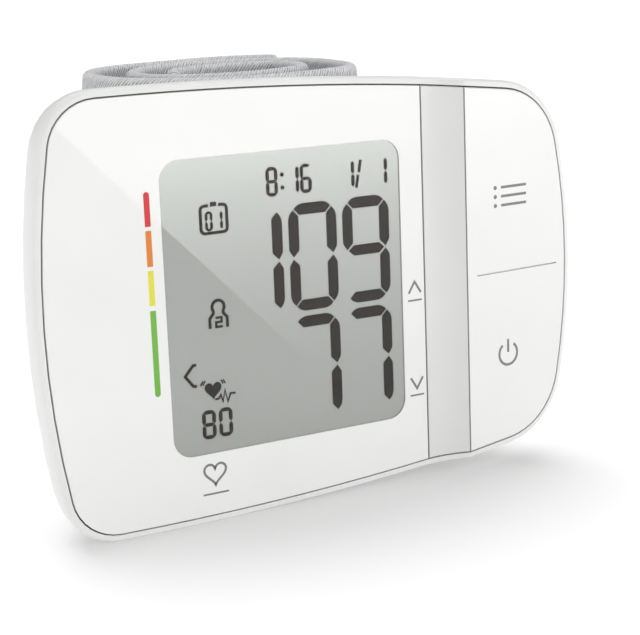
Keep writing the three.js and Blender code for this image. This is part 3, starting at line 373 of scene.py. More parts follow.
def display_panel():
    """The white plate: the model's outline, open where the window is, with a rounded front edge."""
    form = bmesh.new()
    form.from_mesh(cad["display_plate"].data)
    bmesh.ops.remove_doubles(form, verts=form.verts, dist=WELD_M)
    others = [face for face in form.faces if face.normal.y < FACES_BACK]
    bmesh.ops.delete(form, geom=others, context="FACES")
    for vert in form.verts:
        vert.co.y = FACE_Y
    bmesh.ops.dissolve_faces(form, faces=form.faces[:])
    bmesh.ops.delete(form, geom=form.faces[:], context="FACES_ONLY")
    outline = form.edges[:]
    window_loop(form)
    bmesh.ops.delete(form, geom=form.faces[:], context="FACES_ONLY")
    bmesh.ops.triangle_fill(form, edges=form.edges[:], use_beauty=True, normal=(0, -1, 0))
    thicken(form, PLATE_THICKNESS)
    round_off(form, outline, PLATE_EDGE * MM, 3)
    piece("display_panel", form, [gloss_white], "case", stands_for="display_plate")


def display_window():
    """The clear pane in the window."""
    form = bmesh.new()
    window_loop(form, -PANE_GAP)
    thicken(form, PANE_THICKNESS)
    piece("display_window", form, [acrylic], "case", stands_for="display_plate")


def display_cell():
    """The glass of the display with its front film, which fills the window."""
    form = bmesh.new()
    window_loop(form, -PANE_GAP)
    bmesh.ops.translate(form, verts=form.verts, vec=(0, CELL_DEPTH * MM, 0))
    thicken(form, GLASS_DEPTH + CELL_SEAT - CELL_DEPTH)
    form.from_mesh(cad["lcd_glass"].data)
    bmesh.ops.remove_doubles(form, verts=form.verts, dist=WELD_M)
    piece("lcd_cell", form, [lcd_film], "case", stands_for="lcd_glass")


display_panel()
display_window()
display_cell()

# Figures and signs lie on the front film of the cell
SEGMENT_PROUD = 0.06
SEGMENT_FILM = 0.03
SEGMENT_DEPTH = CELL_DEPTH - SEGMENT_PROUD
LIT = {"0": "abcdef", "1": "bc", "6": "acdefg", "7": "abc", "8": "abcdefg", "9": "abcdfg"}
BIG = dict(width=7.74, height=15.42, stroke=1.62, gap=0.3, pitch=8.77)
PULSE = dict(width=2.12, height=4.16, stroke=0.56, gap=0.03, pitch=2.59)
CLOCK = dict(width=1.84, height=4.14, stroke=0.52, gap=0.03, pitch=2.02)
COUNT = dict(width=1.14, height=2.76, stroke=0.38, gap=0.02, pitch=1.53)
# What stands on the display: the figures, their right end, their foot and their size
READINGS = [
    ("109", 11.47, -2.46, BIG),
    ("77", 11.47, -18.66, BIG),
    ("80", -15.19, -18.66, PULSE),
    ("8", -6.45, 14.36, CLOCK),
    ("16", -1.05, 14.33, CLOCK),
    ("1", 5.94, 14.24, CLOCK),
    ("1", 11.43, 14.2, CLOCK),
    ("01", -15.19, 10.56, COUNT),
]


def mirrored(points, width):
    return [(width - x, z) for x, z in points]


def upside_down(points, height):
    return [(x, height - z) for x, z in points]


def segment_outlines(width, height, stroke, gap):
    """Outlines of a figure's seven segments from its lower left corner, cut in shares of their stroke."""
    half, mid = gap / 2, height / 2
    left_end = [
        (stroke + half, height - stroke),
        (0.47 * stroke + half, height - 0.44 * stroke),
        (0.8 * stroke + half, height - 0.15 * stroke),
        (1.35 * stroke, height),
    ]
    top = left_end + mirrored(left_end, width)[::-1]
    upper_left = [
        (stroke, height - stroke - half),
        (0.47 * stroke, height - 0.44 * stroke - half),
        (0.15 * stroke, height - 0.8 * stroke - half),
        (0, height - 1.35 * stroke),
        (0, mid + 0.72 * stroke),
        (0.4 * stroke, mid + half),
        (stroke, mid + 0.68 * stroke),
    ]
    upper_right = mirrored(upper_left, width)
    bar = 0.47 * stroke
    middle = [
        (0.46 * stroke + half, mid),
        (stroke + half, mid + bar),
        (width - stroke - half, mid + bar),
        (width - 0.46 * stroke - half, mid),
        (width - stroke - half, mid - bar),
        (stroke + half, mid - bar),
    ]
    return {
        "a": top,
        "b": upper_right,
        "c": upside_down(upper_right, height),
        "d": upside_down(top, height),
        "e": upside_down(upper_left, height),
        "f": upper_left,
        "g": middle,
    }


def figures(form, text, right, low, width, height, stroke, gap, pitch):
    """Seven-segment figures, placed from the right end of the last one."""
    outlines = segment_outlines(width, height, stroke, gap)
    for place, digit in enumerate(reversed(text)):
        left = right - width - place * pitch
        for letter in LIT[digit]:
            mark(form, [(left + x, low + z) for x, z in outlines[letter]], SEGMENT_DEPTH)


def display_figures():
    """All readings on the display."""
    form = bmesh.new()
    for text, right, low, size in READINGS:
        figures(form, text, right, low, **size)
    thicken(form, SEGMENT_FILM)
    piece("lcd_figures", form, [segment_ink], "case")


HEART_STEPS = 28
HEART_WAVES = [(1, 13), (2, -5), (3, -2), (4, -1)]
HEART_REACH = 14.5
HEART_LIFT = 0.08


def heart(x, z, width, height):
    """Outline of a heart around its middle, by the usual sum of four waves."""
    points = []
    for step in range(HEART_STEPS):
        angle = 2 * math.pi * step / HEART_STEPS
        across = math.sin(angle) ** 3
        rise = sum(reach * math.cos(times * angle) for times, reach in HEART_WAVES) / HEART_REACH
        points.append((x + across * width / 2, z + (rise + HEART_LIFT) * height / 2))
    return points


SIGN_LINE = 0.43
DATE_LINE = 0.42
NUMBER_LINE = 0.34
TRACE_LINE = 0.28
BEAT_LINE = 0.2
CLIP_BAR = 0.62
COLON_X = -5.735
COLON_HEIGHTS = (17.28, 15.47)
COLON_DOT = 0.31
DATE_STROKES = [[(6.22, 14.28), (6.56, 16.1)], [(6.7, 16.46), (7.03, 18.22)]]
RECORD_LEFT, RECORD_RIGHT = -17.92, -15.14
RECORD_LOW, RECORD_HIGH = 10.9, 13.5
RECORD_CORNER = 0.6
BEATS = [
    [(-19.86, -10.86), (-19.46, -10.22)],
    [(-19.5, -10.84), (-19.12, -10.24)],
    [(-16.4, -11.0), (-16.72, -10.42)],
    [(-16.06, -11.02), (-16.38, -10.42)],
]


def record_sign(form):
    """A frame round the number of the stored record, with a short bar in its open top."""
    top = RECORD_HIGH + RECORD_CORNER
    outline = [
        (-17.3, top),
        *arc(RECORD_LEFT, RECORD_HIGH, RECORD_CORNER, 90, 180, 5),
        *arc(RECORD_LEFT, RECORD_LOW, RECORD_CORNER, 180, 270, 5),
        *arc(RECORD_RIGHT, RECORD_LOW, RECORD_CORNER, 270, 360, 5),
        *arc(RECORD_RIGHT, RECORD_HIGH, RECORD_CORNER, 0, 90, 5),
        (-15.76, top),
    ]
    ribbon(form, outline, SIGN_LINE, SEGMENT_DEPTH)
    ribbon(form, [(-16.98, 14.25), (-16.08, 14.25)], CLIP_BAR, SEGMENT_DEPTH)


def user_sign(form):
    """Head and shoulders round the number of the user."""
    person = [
        (-17.94, -3.0),
        (-17.92, -1.6),
        (-17.34, -0.92),
        *arc(-16.57, -0.05, 0.93, 215, -35, 18),
        (-15.84, -0.95),
        (-15.25, -1.62),
        (-15.24, -3.05),
    ]
    top, mid, low = -1.56, -2.2, -2.86
    two = [(-17.06, top), (-16.14, top), (-16.14, mid), (-16.98, mid), (-16.98, low), (-15.98, low)]
    ribbon(form, person, SIGN_LINE, SEGMENT_DEPTH)
    ribbon(form, two, NUMBER_LINE, SEGMENT_DEPTH)


def pulse_sign(form):
    """A level arrow, and a beating heart with its trace."""
    arrow = [(-20.36, -7.78), (-20.84, -7.78), (-22.1, -9.2), (-20.95, -10.72), (-20.42, -10.8)]
    ribbon(form, arrow, SIGN_LINE, SEGMENT_DEPTH)
    mark(form, heart(-17.97, -11.76, 2.6, 2.5), SEGMENT_DEPTH)
    for stroke in BEATS:
        ribbon(form, stroke, BEAT_LINE, SEGMENT_DEPTH)
    trace = [
        (-17.73, -13.09),
        (-17.16, -13.07),
        (-16.83, -12.55),
        (-16.52, -13.59),
        (-16.17, -11.95),
        (-15.78, -13.69),
        (-15.34, -12.58),
        (-14.55, -12.63),
    ]
    ribbon(form, trace, TRACE_LINE, SEGMENT_DEPTH)


def display_signs():
    """Colon, date stroke, and the signs for record, user and pulse."""
    form = bmesh.new()
    for z in COLON_HEIGHTS:
        dot(form, COLON_X, z, COLON_DOT, SEGMENT_DEPTH)
    for stroke in DATE_STROKES:
        ribbon(form, stroke, DATE_LINE, SEGMENT_DEPTH)
    record_sign(form)
    user_sign(form)
    pulse_sign(form)
    thicken(form, SEGMENT_FILM)
    piece("lcd_signs", form, [segment_ink], "case")


display_figures()
display_signs()

# Screen print on the plates
PRINT_PROUD = 0.012
PRINT_FILM = 0.01
PRINT_LINE = 0.34
UNDERLINE = 0.26
SCALE_X = -26.38
SCALE_WIDTH = 0.85
SCALE_BARS = [(12.2, 16.9), (6.76, 11.66), (1.41, 6.22), (-11.3, 0.72)]
SCALE_END_STEPS = 8


def pressure_scale():
    """Four bars from green to red beside the display; the outer ends are round."""
    form = bmesh.new()
    half = SCALE_WIDTH / 2
    for coat, (low, high) in enumerate(SCALE_BARS):
        top = [(SCALE_X + half, high), (SCALE_X - half, high)]
        base = [(SCALE_X - half, low), (SCALE_X + half, low)]
        if coat == 0:
            top = arc(SCALE_X, high - half, half, 0, 180, SCALE_END_STEPS)
        if coat == len(SCALE_BARS) - 1:
            base = arc(SCALE_X, low + half, half, 180, 360, SCALE_END_STEPS)
        mark(form, top + base, -PRINT_PROUD, coat)
    thicken(form, PRINT_FILM)
    piece("pressure_scale", form, [red_print, orange_print, yellow_print, green_print], "case")


# Rise and fall mark: place, half width, reach of tip and feet from the middle, and what underlines them
PRESSURE_X = 15.5
RISE_Z, FALL_Z = -1.45, -15.9
TIP_HALF = 1.05
TIP_REACH, TIP_FOOT = 0.9, 0.8
TIP_UNDERLINE = (14.3, 16.7)
TIP_DROP = 1.9
PULSE_UNDERLINE = [(-20.4, -26.6), (-16.4, -26.6)]


def plate_print():
    """Signs beside the figures: a rise and a fall mark for the two pressures, a heart for the pulse."""
    form = bmesh.new()
    for z, way in ((RISE_Z, 1), (FALL_Z, -1)):
        foot = z - way * TIP_FOOT
        peak = (PRESSURE_X, z + way * TIP_REACH)
        tip = [(PRESSURE_X - TIP_HALF, foot), peak, (PRESSURE_X + TIP_HALF, foot)]
        ribbon(form, tip, PRINT_LINE, -PRINT_PROUD)
        ribbon(form, [(x, z - TIP_DROP) for x in TIP_UNDERLINE], UNDERLINE, -PRINT_PROUD)
    ribbon(form, heart(-18.4, -23.7, 3.4, 3.1), PRINT_LINE, -PRINT_PROUD, closed=True)
    ribbon(form, PULSE_UNDERLINE, UNDERLINE, -PRINT_PROUD)
    thicken(form, PRINT_FILM)
    piece("plate_print", form, [grey_print], "case")


KEY_TILT = math.radians(4.6)
KEY_LINE = 0.4
LIST_TOP, LIST_PITCH, LIST_ROWS = 12.2, 1.35, 3
LIST_DOT_X, LIST_DOT = 28.9, 0.32
LIST_ROW = (30.0, 34.9)
START_X, START_Z, START_RADIUS = 31.0, -13.4, 1.75
START_ARC = (128, 412)
START_STROKE = (-13.2, -11.15)


def key_print():
    """Key signs: a list for stored readings above, a start sign below; they lie on the tilted key plate."""
    form = bmesh.new()
    for row in range(LIST_ROWS):
        z = LIST_TOP - row * LIST_PITCH
        dot(form, LIST_DOT_X, z, LIST_DOT, 0)
        ribbon(form, [(x, z) for x in LIST_ROW], KEY_LINE, 0)
    ribbon(form, arc(START_X, START_Z, START_RADIUS, *START_ARC, 26), KEY_LINE, 0)
    ribbon(form, [(START_X, z) for z in START_STROKE], KEY_LINE, 0)
    key_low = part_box("key_plate")[0]
    for vert in form.verts:
        vert.co.y = key_low.y + (vert.co.x - key_low.x) * math.tan(KEY_TILT) - PRINT_PROUD * MM
    thicken(form, PRINT_FILM)
    piece("key_print", form, [grey_print], "key")


pressure_scale()
plate_print()
key_print()

# CAD pieces keep their mesh; a modifier joins its triangles and shades round walls smooth
ROUND_EDGE = math.radians(32)


def smooth_walls():
    """The modifier's nodes: edges that bend less than a set angle are shaded smooth."""
    group = bpy.data.node_groups.new("smooth_walls", "GeometryNodeTree")
    for way in ("INPUT", "OUTPUT"):
        group.interface.new_socket("Geometry", in_out=way, socket_type="NodeSocketGeometry")
    entry = add_node(group, "NodeGroupInput")
    welded = add_node(
        group, "GeometryNodeMergeByDistance", {"Distance": WELD_M}, {"Geometry": (entry, "Geometry")}
    )
    angle = add_node(group, "GeometryNodeInputMeshEdgeAngle")
    round_edge = add_node(
        group,
        "FunctionNodeCompare",
        {"B": ROUND_EDGE},
        {"A": (angle, "Unsigned Angle")},
        data_type="FLOAT",
        operation="LESS_THAN",
    )
    faces = add_node(
        group,
        "GeometryNodeSetShadeSmooth",
        {"Shade Smooth": True},
        {"Geometry": (welded, "Geometry")},
        domain="FACE",
    )
    edges = add_node(
        group,
        "GeometryNodeSetShadeSmooth",
        links={"Geometry": (faces, "Geometry"), "Shade Smooth": (round_edge, "Result")},
        domain="EDGE",
    )
    add_node(group, "NodeGroupOutput", links={"Geometry": (edges, "Geometry")})
    return group


walls = smooth_walls()


def dress(finish, *names):
    """Gives CAD pieces their finish and smooth shading on their round walls."""
    for name in names:
        node = cad[name]
        node.data.materials.clear()
        node.data.materials.append(finish)
        shading = node.modifiers.new("smooth_walls", "NODES")
        shading.node_group = walls


RUN_SPACING, RUN_SHARE = 9.0, 0.03
RUN_HEIGHT = 0.03


def circuit_board():
    """Fibreglass board under green solder mask: lighter copper runs show through the lacquer."""
    finish, tree = new_finish("green_solder_mask")
    place = add_node(tree, "ShaderNodeTexCoord")
    runs = add_node(
        tree,
        "ShaderNodeTexBrick",
        {
            "Scale": per_mm(RUN_SPACING),
            "Mortar Size": RUN_SHARE,
            "Color1": linear("1F5B34"),
            "Color2": linear("235F38"),
            "Mortar": linear("3C8452"),
        },
        {"Vector": (place, "Object")},
    )
    relief = add_node(tree, "ShaderNodeBump", {"Distance": RUN_HEIGHT * MM}, {"Height": (runs, "Fac")})
    links = {"Base Color": (runs, "Color"), "Normal": (relief, "Normal")}
    shade(tree, links, Roughness=0.35, IOR=1.5, Coat_Weight=0.4)
    return finish


STEEL_SPREAD = 0.08
DRAWN_ALONG_X = (0.08, 1, 1)


def plated_steel(name, dark, light, roughness, scratch):
    """Plated steel: bright, with fine lines from drawing and stamping along X."""
    finish, tree = new_finish(name)
    lines, colour = mottle(tree, dark, light, size=scratch, detail=3, stretch=DRAWN_ALONG_X)
    limits = {"To Min": roughness - STEEL_SPREAD, "To Max": roughness + STEEL_SPREAD}
    gloss = add_node(tree, "ShaderNodeMapRange", limits, {"Value": lines})
    shade(tree, {"Base Color": colour, "Roughness": (gloss, "Result")}, Metallic=1.0)
    return finish


SLEEVE_RIPPLE = 0.01


def cell_sleeve():
    """Shrink sleeve of a cell: dark grey printed film with a faint metallic shine and small ripples."""
    finish, tree = new_finish("printed_shrink_sleeve")
    ripples, colour = mottle(tree, "5B6066", "666B71", size=1.2, detail=2)
    relief = add_node(tree, "ShaderNodeBump", {"Distance": SLEEVE_RIPPLE * MM}, {"Height": ripples})
    shade(tree, {"Base Color": colour, "Normal": (relief, "Normal")}, Metallic=0.35, Roughness=0.3)
    return finish


SILICONE_SPREAD = 0.05


def soft_silicone(name, dark, light, roughness):
    """Extruded silicone: milky, slightly clinging surface with dust-fine mottling."""
    finish, tree = new_finish(name)
    dust, colour = mottle(tree, dark, light, size=1.5, detail=3)
    limits = {"To Min": roughness - SILICONE_SPREAD, "To Max": roughness + SILICONE_SPREAD}
    gloss = add_node(tree, "ShaderNodeMapRange", limits, {"Value": dust})
    shade(
        tree,
        {"Base Color": colour, "Roughness": (gloss, "Result")},
        Subsurface_Weight=0.15,
        Subsurface_Scale=0.002,
        Subsurface_Radius=(1.0, 0.9, 0.8),
        IOR=1.41,
    )
    return finish


dress(satin_abs, "front_housing", "rear_housing", "battery_door")
dress(trim_abs, "groove_trim")
dress(gloss_white, "key_plate")
dress(grey_nylon, "cuff_plate", "lcd_frame", "air_manifold", "air_nozzle")
dress(black_pbt, "switch_upper", "switch_lower", "pump_head", "release_valve", "controller_chip")
dress(black_pbt, "pressure_sensor")
dress(cream_pom, "plunger_upper", "plunger_lower")
dress(circuit_board(), "main_board")
nickel = plated_steel("nickel_plated_steel", "B4B6B8", "C6C8CA", 0.28, 0.25)
dress(nickel, "board_screw_left", "board_screw_right", "cuff_screw_left", "cuff_screw_right")
dress(nickel, "case_screw_upper", "case_screw_lower", "case_screw_right")
dress(nickel, "spring_contact", "flat_contact", "battery_link")
dress(plated_steel("zinc_plated_can", "9DA1A5", "AFB3B6", 0.36, 0.4), "pump_motor")
dress(cell_sleeve(), "cell_upper", "cell_lower")
milky_silicone = soft_silicone("clear_silicone", "D3D1C8", "DEDCD4", 0.45)
dress(milky_silicone, "tube_pump", "tube_valve", "tube_sensor", "tube_cuff")
dress(soft_silicone("carbon_silicone", "7F7C78", "8E8A86", 0.6), "contact_strip")

# Cuff: a flat padded band, rounded at its edges, then rolled up behind the case
CUFF_THICKNESS = 2.6
CUFF_WIDTH = 61.4
CUFF_TOP_SLOPE = 0.034
CUFF_ROLL_X = 8.625
CUFF_HALF_WIDTH = 24.3
CUFF_HALF_DEPTH = 19.0
CUFF_SQUARENESS = 2.4
CUFF_TURNS = 2.4
CUFF_TIP = math.radians(42)
CUFF_PITCH = 4.5
CUFF_LOOSENING = 2.4
CUFF_LOOSE_TURN = 0.4
CUFF_INNER_PITCH = 6.1
CUFF_FACE = 27.4


def cuff_offset(turns):
    """How far the roll has drawn in after so many turns, with a looser start of its second turn."""
    share = min(1, max(0, (turns - 1) / CUFF_LOOSE_TURN))
    loosened = share * share * (3 - 2 * share)
    inner = max(0, turns - 1 - CUFF_LOOSE_TURN)
    return CUFF_PITCH * turns + CUFF_LOOSENING * loosened + (CUFF_INNER_PITCH - CUFF_PITCH) * inner


FRONT_TURN = (1.5 * math.pi - CUFF_TIP) / (2 * math.pi)
CUFF_CENTRE = CUFF_FACE + CUFF_THICKNESS / 2 + CUFF_HALF_DEPTH - cuff_offset(FRONT_TURN)
CUFF_BACK = CUFF_CENTRE + CUFF_HALF_DEPTH
CUFF_LOW = -MIDDLE_Z / MM


def cuff_line(turns):
    """Middle line of the roll, as x and depth."""
    angle = CUFF_TIP + 2 * math.pi * turns
    wide = abs(math.cos(angle)) / (CUFF_HALF_WIDTH - cuff_offset(turns))
    deep = abs(math.sin(angle)) / (CUFF_HALF_DEPTH - cuff_offset(turns))
    reach = (wide ** CUFF_SQUARENESS + deep ** CUFF_SQUARENESS) ** (-1 / CUFF_SQUARENESS)
    return Vector((CUFF_ROLL_X + reach * math.cos(angle), CUFF_CENTRE + reach * math.sin(angle)))


LINE_STEPS = 960
TURN_STEP = 0.002
line_points = [cuff_line(CUFF_TURNS * step / LINE_STEPS) for step in range(LINE_STEPS + 1)]
line_lengths = [0.0]
for one, two in zip(line_points, line_points[1:]):
    line_lengths.append(line_lengths[-1] + (two - one).length)
CUFF_LENGTH = line_lengths[-1]


def turn_at(length):
    """How many turns the roll has made after a length of band."""
    low = min(bisect_right(line_lengths, length), LINE_STEPS) - 1
    share = (length - line_lengths[low]) / (line_lengths[low + 1] - line_lengths[low])
    return CUFF_TURNS * (low + share) / LINE_STEPS


def length_after(turns):
    """Length of the band in so many turns of the roll."""
    return line_lengths[round(turns / CUFF_TURNS * LINE_STEPS)]


def roll(length, inward, height):
    """Takes a point of the flat band to its place in the roll; past its ends the band runs on straight."""
    within = min(max(length, 0), CUFF_LENGTH)
    turns = turn_at(within)
    spot = cuff_line(turns)
    ahead = (cuff_line(turns + TURN_STEP) - cuff_line(turns - TURN_STEP)).normalized()
    over = length - within
    x = spot.x + ahead.x * over - ahead.y * inward
    depth = spot.y + ahead.y * over + ahead.x * inward
    drop = CUFF_TOP_SLOPE * (CUFF_BACK - depth) * height / CUFF_WIDTH
    return front(x, depth, CUFF_LOW + height - drop)


def roll_up(form):
    """Takes a flat form to its place in the roll."""
    for vert in form.verts:
        vert.co = roll(*vert.co)
    bmesh.ops.recalc_face_normals(form, faces=form.faces)


CUT_REACH = 1e-6


def flat_band(length, inward, height, rounding, rows, columns):
    """A flat block between (from, to) pairs, rounded at its edges, cut into rows and columns."""
    form = bmesh.new()
    sides = [end - start for start, end in (length, inward, height)]
    middle = [(start + end) / 2 for start, end in (length, inward, height)]
    bmesh.ops.create_cube(form, size=1)
    bmesh.ops.scale(form, vec=sides, verts=form.verts)
    bmesh.ops.translate(form, vec=middle, verts=form.verts)
    round_off(form, form.edges[:], rounding, 5)
    for count, axis, (start, end) in ((rows, 0, length), (columns, 2, height)):
        normal = Vector((0, 0, 0))
        normal[axis] = 1
        for step in range(1, count):
            bmesh.ops.bisect_plane(
                form,
                geom=form.verts[:] + form.edges[:] + form.faces[:],
                plane_co=normal * (start + rounding + (end - start - 2 * rounding) * step / count),
                plane_no=normal,
                dist=CUT_REACH,
            )
    return form


def unroll_map(form, rounding, half, high):
    """Lays a band's skin flat in a UV map, in metres: up the outside, over the lip and down the inside."""
    layer = form.loops.layers.uv.new("cloth")
    lip_run = high - rounding + rounding * math.pi / 2
    for face in form.faces:
        inside = face.calc_center_median().y > 0
        for corner in face.loops:
            length, inward, height = corner.vert.co
            turned = rounding * math.acos(min(1, max(0, (abs(inward) - half + rounding) / rounding)))
            run = height
            if height > high - rounding:
                run = high - rounding + turned
            elif height < rounding:
                run = rounding - turned
            if inside:
                run = 2 * lip_run - run
            corner[layer].uv = (length * MM, run * MM)


# The yarns are drawn at 0.44 mm, coarser than the real knit, so that they show
YARN_PITCH = 0.44
YARN_DEPTH = 0.22
YARN_LEAN = math.radians(50)
YARN_FLECK = (1.3, 0.35)
RIB_LENGTH = 6.0
# A wave texture has this many bands to a unit
WAVE_BANDS = 20 / (2 * math.pi)
LIP = 1.05
# Width of the painted highlight along the lip of the cuff
LIP_HIGHLIGHT_WIDTH = 1.7


def cuff_fabric():
    """Brushed loop knit: short diagonal yarns in mixed greys, matt, with a painted highlight along the lip
    that makes it lighter and plainer there.
    """
    finish, tree = new_finish("heather_loop_knit")
    cloth = add_node(tree, "ShaderNodeUVMap", uv_map="cloth")
    lean = add_node(
        tree,
        "ShaderNodeMapping",
        {"Rotation": (0, 0, YARN_LEAN), "Scale": (YARN_FLECK[0] * MM, YARN_FLECK[1] * MM, 1)},
        {"Vector": (cloth, "UV")},
        vector_type="TEXTURE",
    )
    yarn = add_node(
        tree,
        "ShaderNodeTexNoise",
        {"Scale": 1.0, "Detail": 3.0, "Roughness": 0.65},
        {"Vector": (lean, "Vector")},
    )
    ribs = add_node(
        tree,
        "ShaderNodeMapping",
        {"Rotation": (0, 0, YARN_LEAN), "Scale": (RIB_LENGTH * MM, YARN_PITCH * WAVE_BANDS * MM, 1)},
        {"Vector": (cloth, "UV")},
        vector_type="TEXTURE",
    )
    twill = add_node(
        tree,
        "ShaderNodeTexWave",
        {"Scale": 1.0, "Distortion": 2.2, "Detail": 1.5, "Detail Scale": 1.5},
        {"Vector": (ribs, "Vector")},
        bands_direction="Y",
    )
    both = add_node(
        tree, "ShaderNodeMath", {1: 0.5}, {0: (twill, "Fac"), 2: (yarn, "Fac")}, operation="MULTIPLY_ADD"
    )
    place = add_node(tree, "ShaderNodeSeparateXYZ", links={"Vector": (cloth, "UV")})
    lip_run = (CUFF_WIDTH - LIP + LIP * math.pi / 2) * MM
    from_lip = add_node(tree, "ShaderNodeMath", {1: lip_run}, {0: (place, "Y")}, operation="SUBTRACT")
    away = add_node(tree, "ShaderNodeMath", links={0: (from_lip, "Value")}, operation="ABSOLUTE")
    # Painted highlight: the knit is lighter, and so plainer, near the lip, where light from above falls
    lip_highlight = add_node(
        tree,
        "ShaderNodeMapRange",
        {"From Min": 0.5 * LIP_HIGHLIGHT_WIDTH * MM, "From Max": LIP_HIGHLIGHT_WIDTH * MM, "To Min": 0.22, "To Max": 0.0},
        {"Value": (away, "Value")},
    )
    with_lip_highlight = add_node(
        tree, "ShaderNodeMath", links={0: (both, "Value"), 1: (lip_highlight, "Result")}, operation="ADD"
    )
    ramp = add_node(
        tree,
        "ShaderNodeValToRGB",
        links={"Fac": (with_lip_highlight, "Value")},
        stops=[(0.46, "85878B"), (0.98, "EAEAEC")],
    )
    relief = add_node(tree, "ShaderNodeBump", {"Distance": YARN_DEPTH * MM}, {"Height": (both, "Value")})
    links = {"Base Color": (ramp, "Color"), "Normal": (relief, "Normal")}
    shade(tree, links, Roughness=0.95, Sheen_Weight=0.35, Sheen_Roughness=0.5, IOR=1.4)
    return finish


# The band starts as a blank thinner than the cuff, which air then fills
BAND_ROWS, BAND_COLUMNS = 210, 22
BAND_OVERHANG = 0.6
BLANK_HALF = 1.12
BLANK_STRETCH = 10.0
CLOTH_MASS = 0.02
AIR_PRESSURE = 4.0
AIR_FRAMES = 20
MOST_SWELL = 0.26
SEWN_EDGE = 2.2
# Puckers of the skin: how far they stand out, their length, their height, and where in the noise they lie
PUCKERS = [(0.1, 17, 13, 3.1), (0.05, 5, 4, 7.7)]
# Waves of the upper edge: how far they rise, their length, where in the noise they lie, how they fade below
EDGE_RISE, EDGE_WAVE, EDGE_PLACE, EDGE_FADE = 0.25, 21, 5.3, 6

# The hook tape lies inside the free end and is sewn on all round
HOOK_START, HOOK_TURN = 0.02, 0.13
HOOK_ROWS, HOOK_COLUMNS = 20, 12
HOOK_MARGIN = 5.0
HOOK_THICKNESS = 0.9
HOOK_SEAT = 0.1
HOOK_EDGE = 0.2
HOOK_PITCH = 0.6
HOOK_DEPTH = 0.25
SEAM_INSET = 1.6
SEAM_REACH = 1.0
HOOK_LENGTH = (length_after(HOOK_START), length_after(HOOK_START + HOOK_TURN))
HOOK_HEIGHT = (HOOK_MARGIN, CUFF_WIDTH - HOOK_MARGIN)
SEAM_LENGTH = (HOOK_LENGTH[0] + SEAM_INSET, HOOK_LENGTH[1] - SEAM_INSET)
SEAM_HEIGHT = (HOOK_MARGIN + SEAM_INSET, CUFF_WIDTH - HOOK_MARGIN - SEAM_INSET)


def is_sewn(length, height):
    """Whether a seam holds a point of the band: along its edges, or along the outline of the hook tape."""
    inside = SEWN_EDGE < height < CUFF_WIDTH - SEWN_EDGE and SEWN_EDGE < length < CUFF_LENGTH - SEWN_EDGE
    beyond = max(
        SEAM_LENGTH[0] - length, length - SEAM_LENGTH[1], SEAM_HEIGHT[0] - height, height - SEAM_HEIGHT[1]
    )
    return not inside or abs(beyond) < SEAM_REACH


def blow_up(form):
    """Fills the flat band with air: its skin swells between the seams in a cloth simulation."""
    start = [vert.co.copy() for vert in form.verts]
    mesh = bpy.data.meshes.new("band_blank")
    form.to_mesh(mesh)
    mesh.transform(Matrix.Scale(BLANK_STRETCH * MM, 4))
    blank = bpy.data.objects.new("band_blank", mesh)
    scene.collection.objects.link(blank)
    sewn = blank.vertex_groups.new(name="sewn")
    sewn.add([spot for spot, point in enumerate(start) if is_sewn(point.x, point.z)], 1.0, "REPLACE")
    cloth = blank.modifiers.new("air", "CLOTH")
    cloth.settings.vertex_group_mass = sewn.name
    cloth.settings.use_pressure = True
    cloth.settings.uniform_pressure_force = AIR_PRESSURE
    cloth.settings.effector_weights.gravity = 0
    cloth.settings.mass = CLOTH_MASS
    cloth.collision_settings.use_collision = False
    for step in range(1, AIR_FRAMES + 1):
        scene.frame_set(step)
    filled = blank.evaluated_get(bpy.context.evaluated_depsgraph_get()).data
    moves = [vert.co / (BLANK_STRETCH * MM) - before for vert, before in zip(filled.vertices, start)]
    bpy.data.objects.remove(blank)
    scene.frame_set(1)
    for vert, move in zip(form.verts, moves):
        if move.length > MOST_SWELL:
            move *= MOST_SWELL / move.length
        vert.co += move


def cuff_band():
    """The cuff's band: a flat blank with small puckers, filled with air and rolled up."""
    length_range = (-BAND_OVERHANG, CUFF_LENGTH)
    form = flat_band(
        length_range, (-BLANK_HALF, BLANK_HALF), (0, CUFF_WIDTH), LIP, BAND_ROWS, BAND_COLUMNS
    )
    unroll_map(form, LIP, BLANK_HALF, CUFF_WIDTH)
    for vert in form.verts:
        length, inward, height = vert.co
        side = 1 if inward > 0 else -1
        bulge = sum(
            reach * noise.noise(Vector((length / long, height / high, side * place)))
            for reach, long, high, place in PUCKERS
        )
        vert.co.y += side * bulge * abs(inward) / BLANK_HALF
        wave = noise.noise(Vector((length / EDGE_WAVE, EDGE_PLACE, 0)))
        vert.co.z += EDGE_RISE * wave * (height / CUFF_WIDTH) ** EDGE_FADE
    blow_up(form)
    roll_up(form)
    made = piece("cuff_cloth", form, [cuff_fabric()], "case", "cuff_band", smooth=True)
    skin = made.modifiers.new("soft_skin", "SUBSURF")
    skin.levels = 1
    skin.render_levels = 1


def hook_rows():
    """Moulded hook tape: dense rows of tiny hooks that scatter light, drawn coarser than real ones."""
    finish, tree = new_finish("grey_hook_tape")
    cloth = add_node(tree, "ShaderNodeUVMap", uv_map="cloth")
    rows = add_node(
        tree,
        "ShaderNodeTexVoronoi",
        {"Scale": per_mm(HOOK_PITCH), "Randomness": 0.35},
        {"Vector": (cloth, "UV")},
    )
    ramp = add_node(
        tree,
        "ShaderNodeValToRGB",
        links={"Fac": (rows, "Distance")},
        stops=[(0.1, "A8AAAE"), (0.6, "84878B")],
    )
    relief = add_node(tree, "ShaderNodeBump", {"Distance": HOOK_DEPTH * MM}, {"Height": (rows, "Distance")})
    links = {"Base Color": (ramp, "Color"), "Normal": (relief, "Normal")}
    shade(tree, links, Roughness=0.7, IOR=1.5)
    return finish


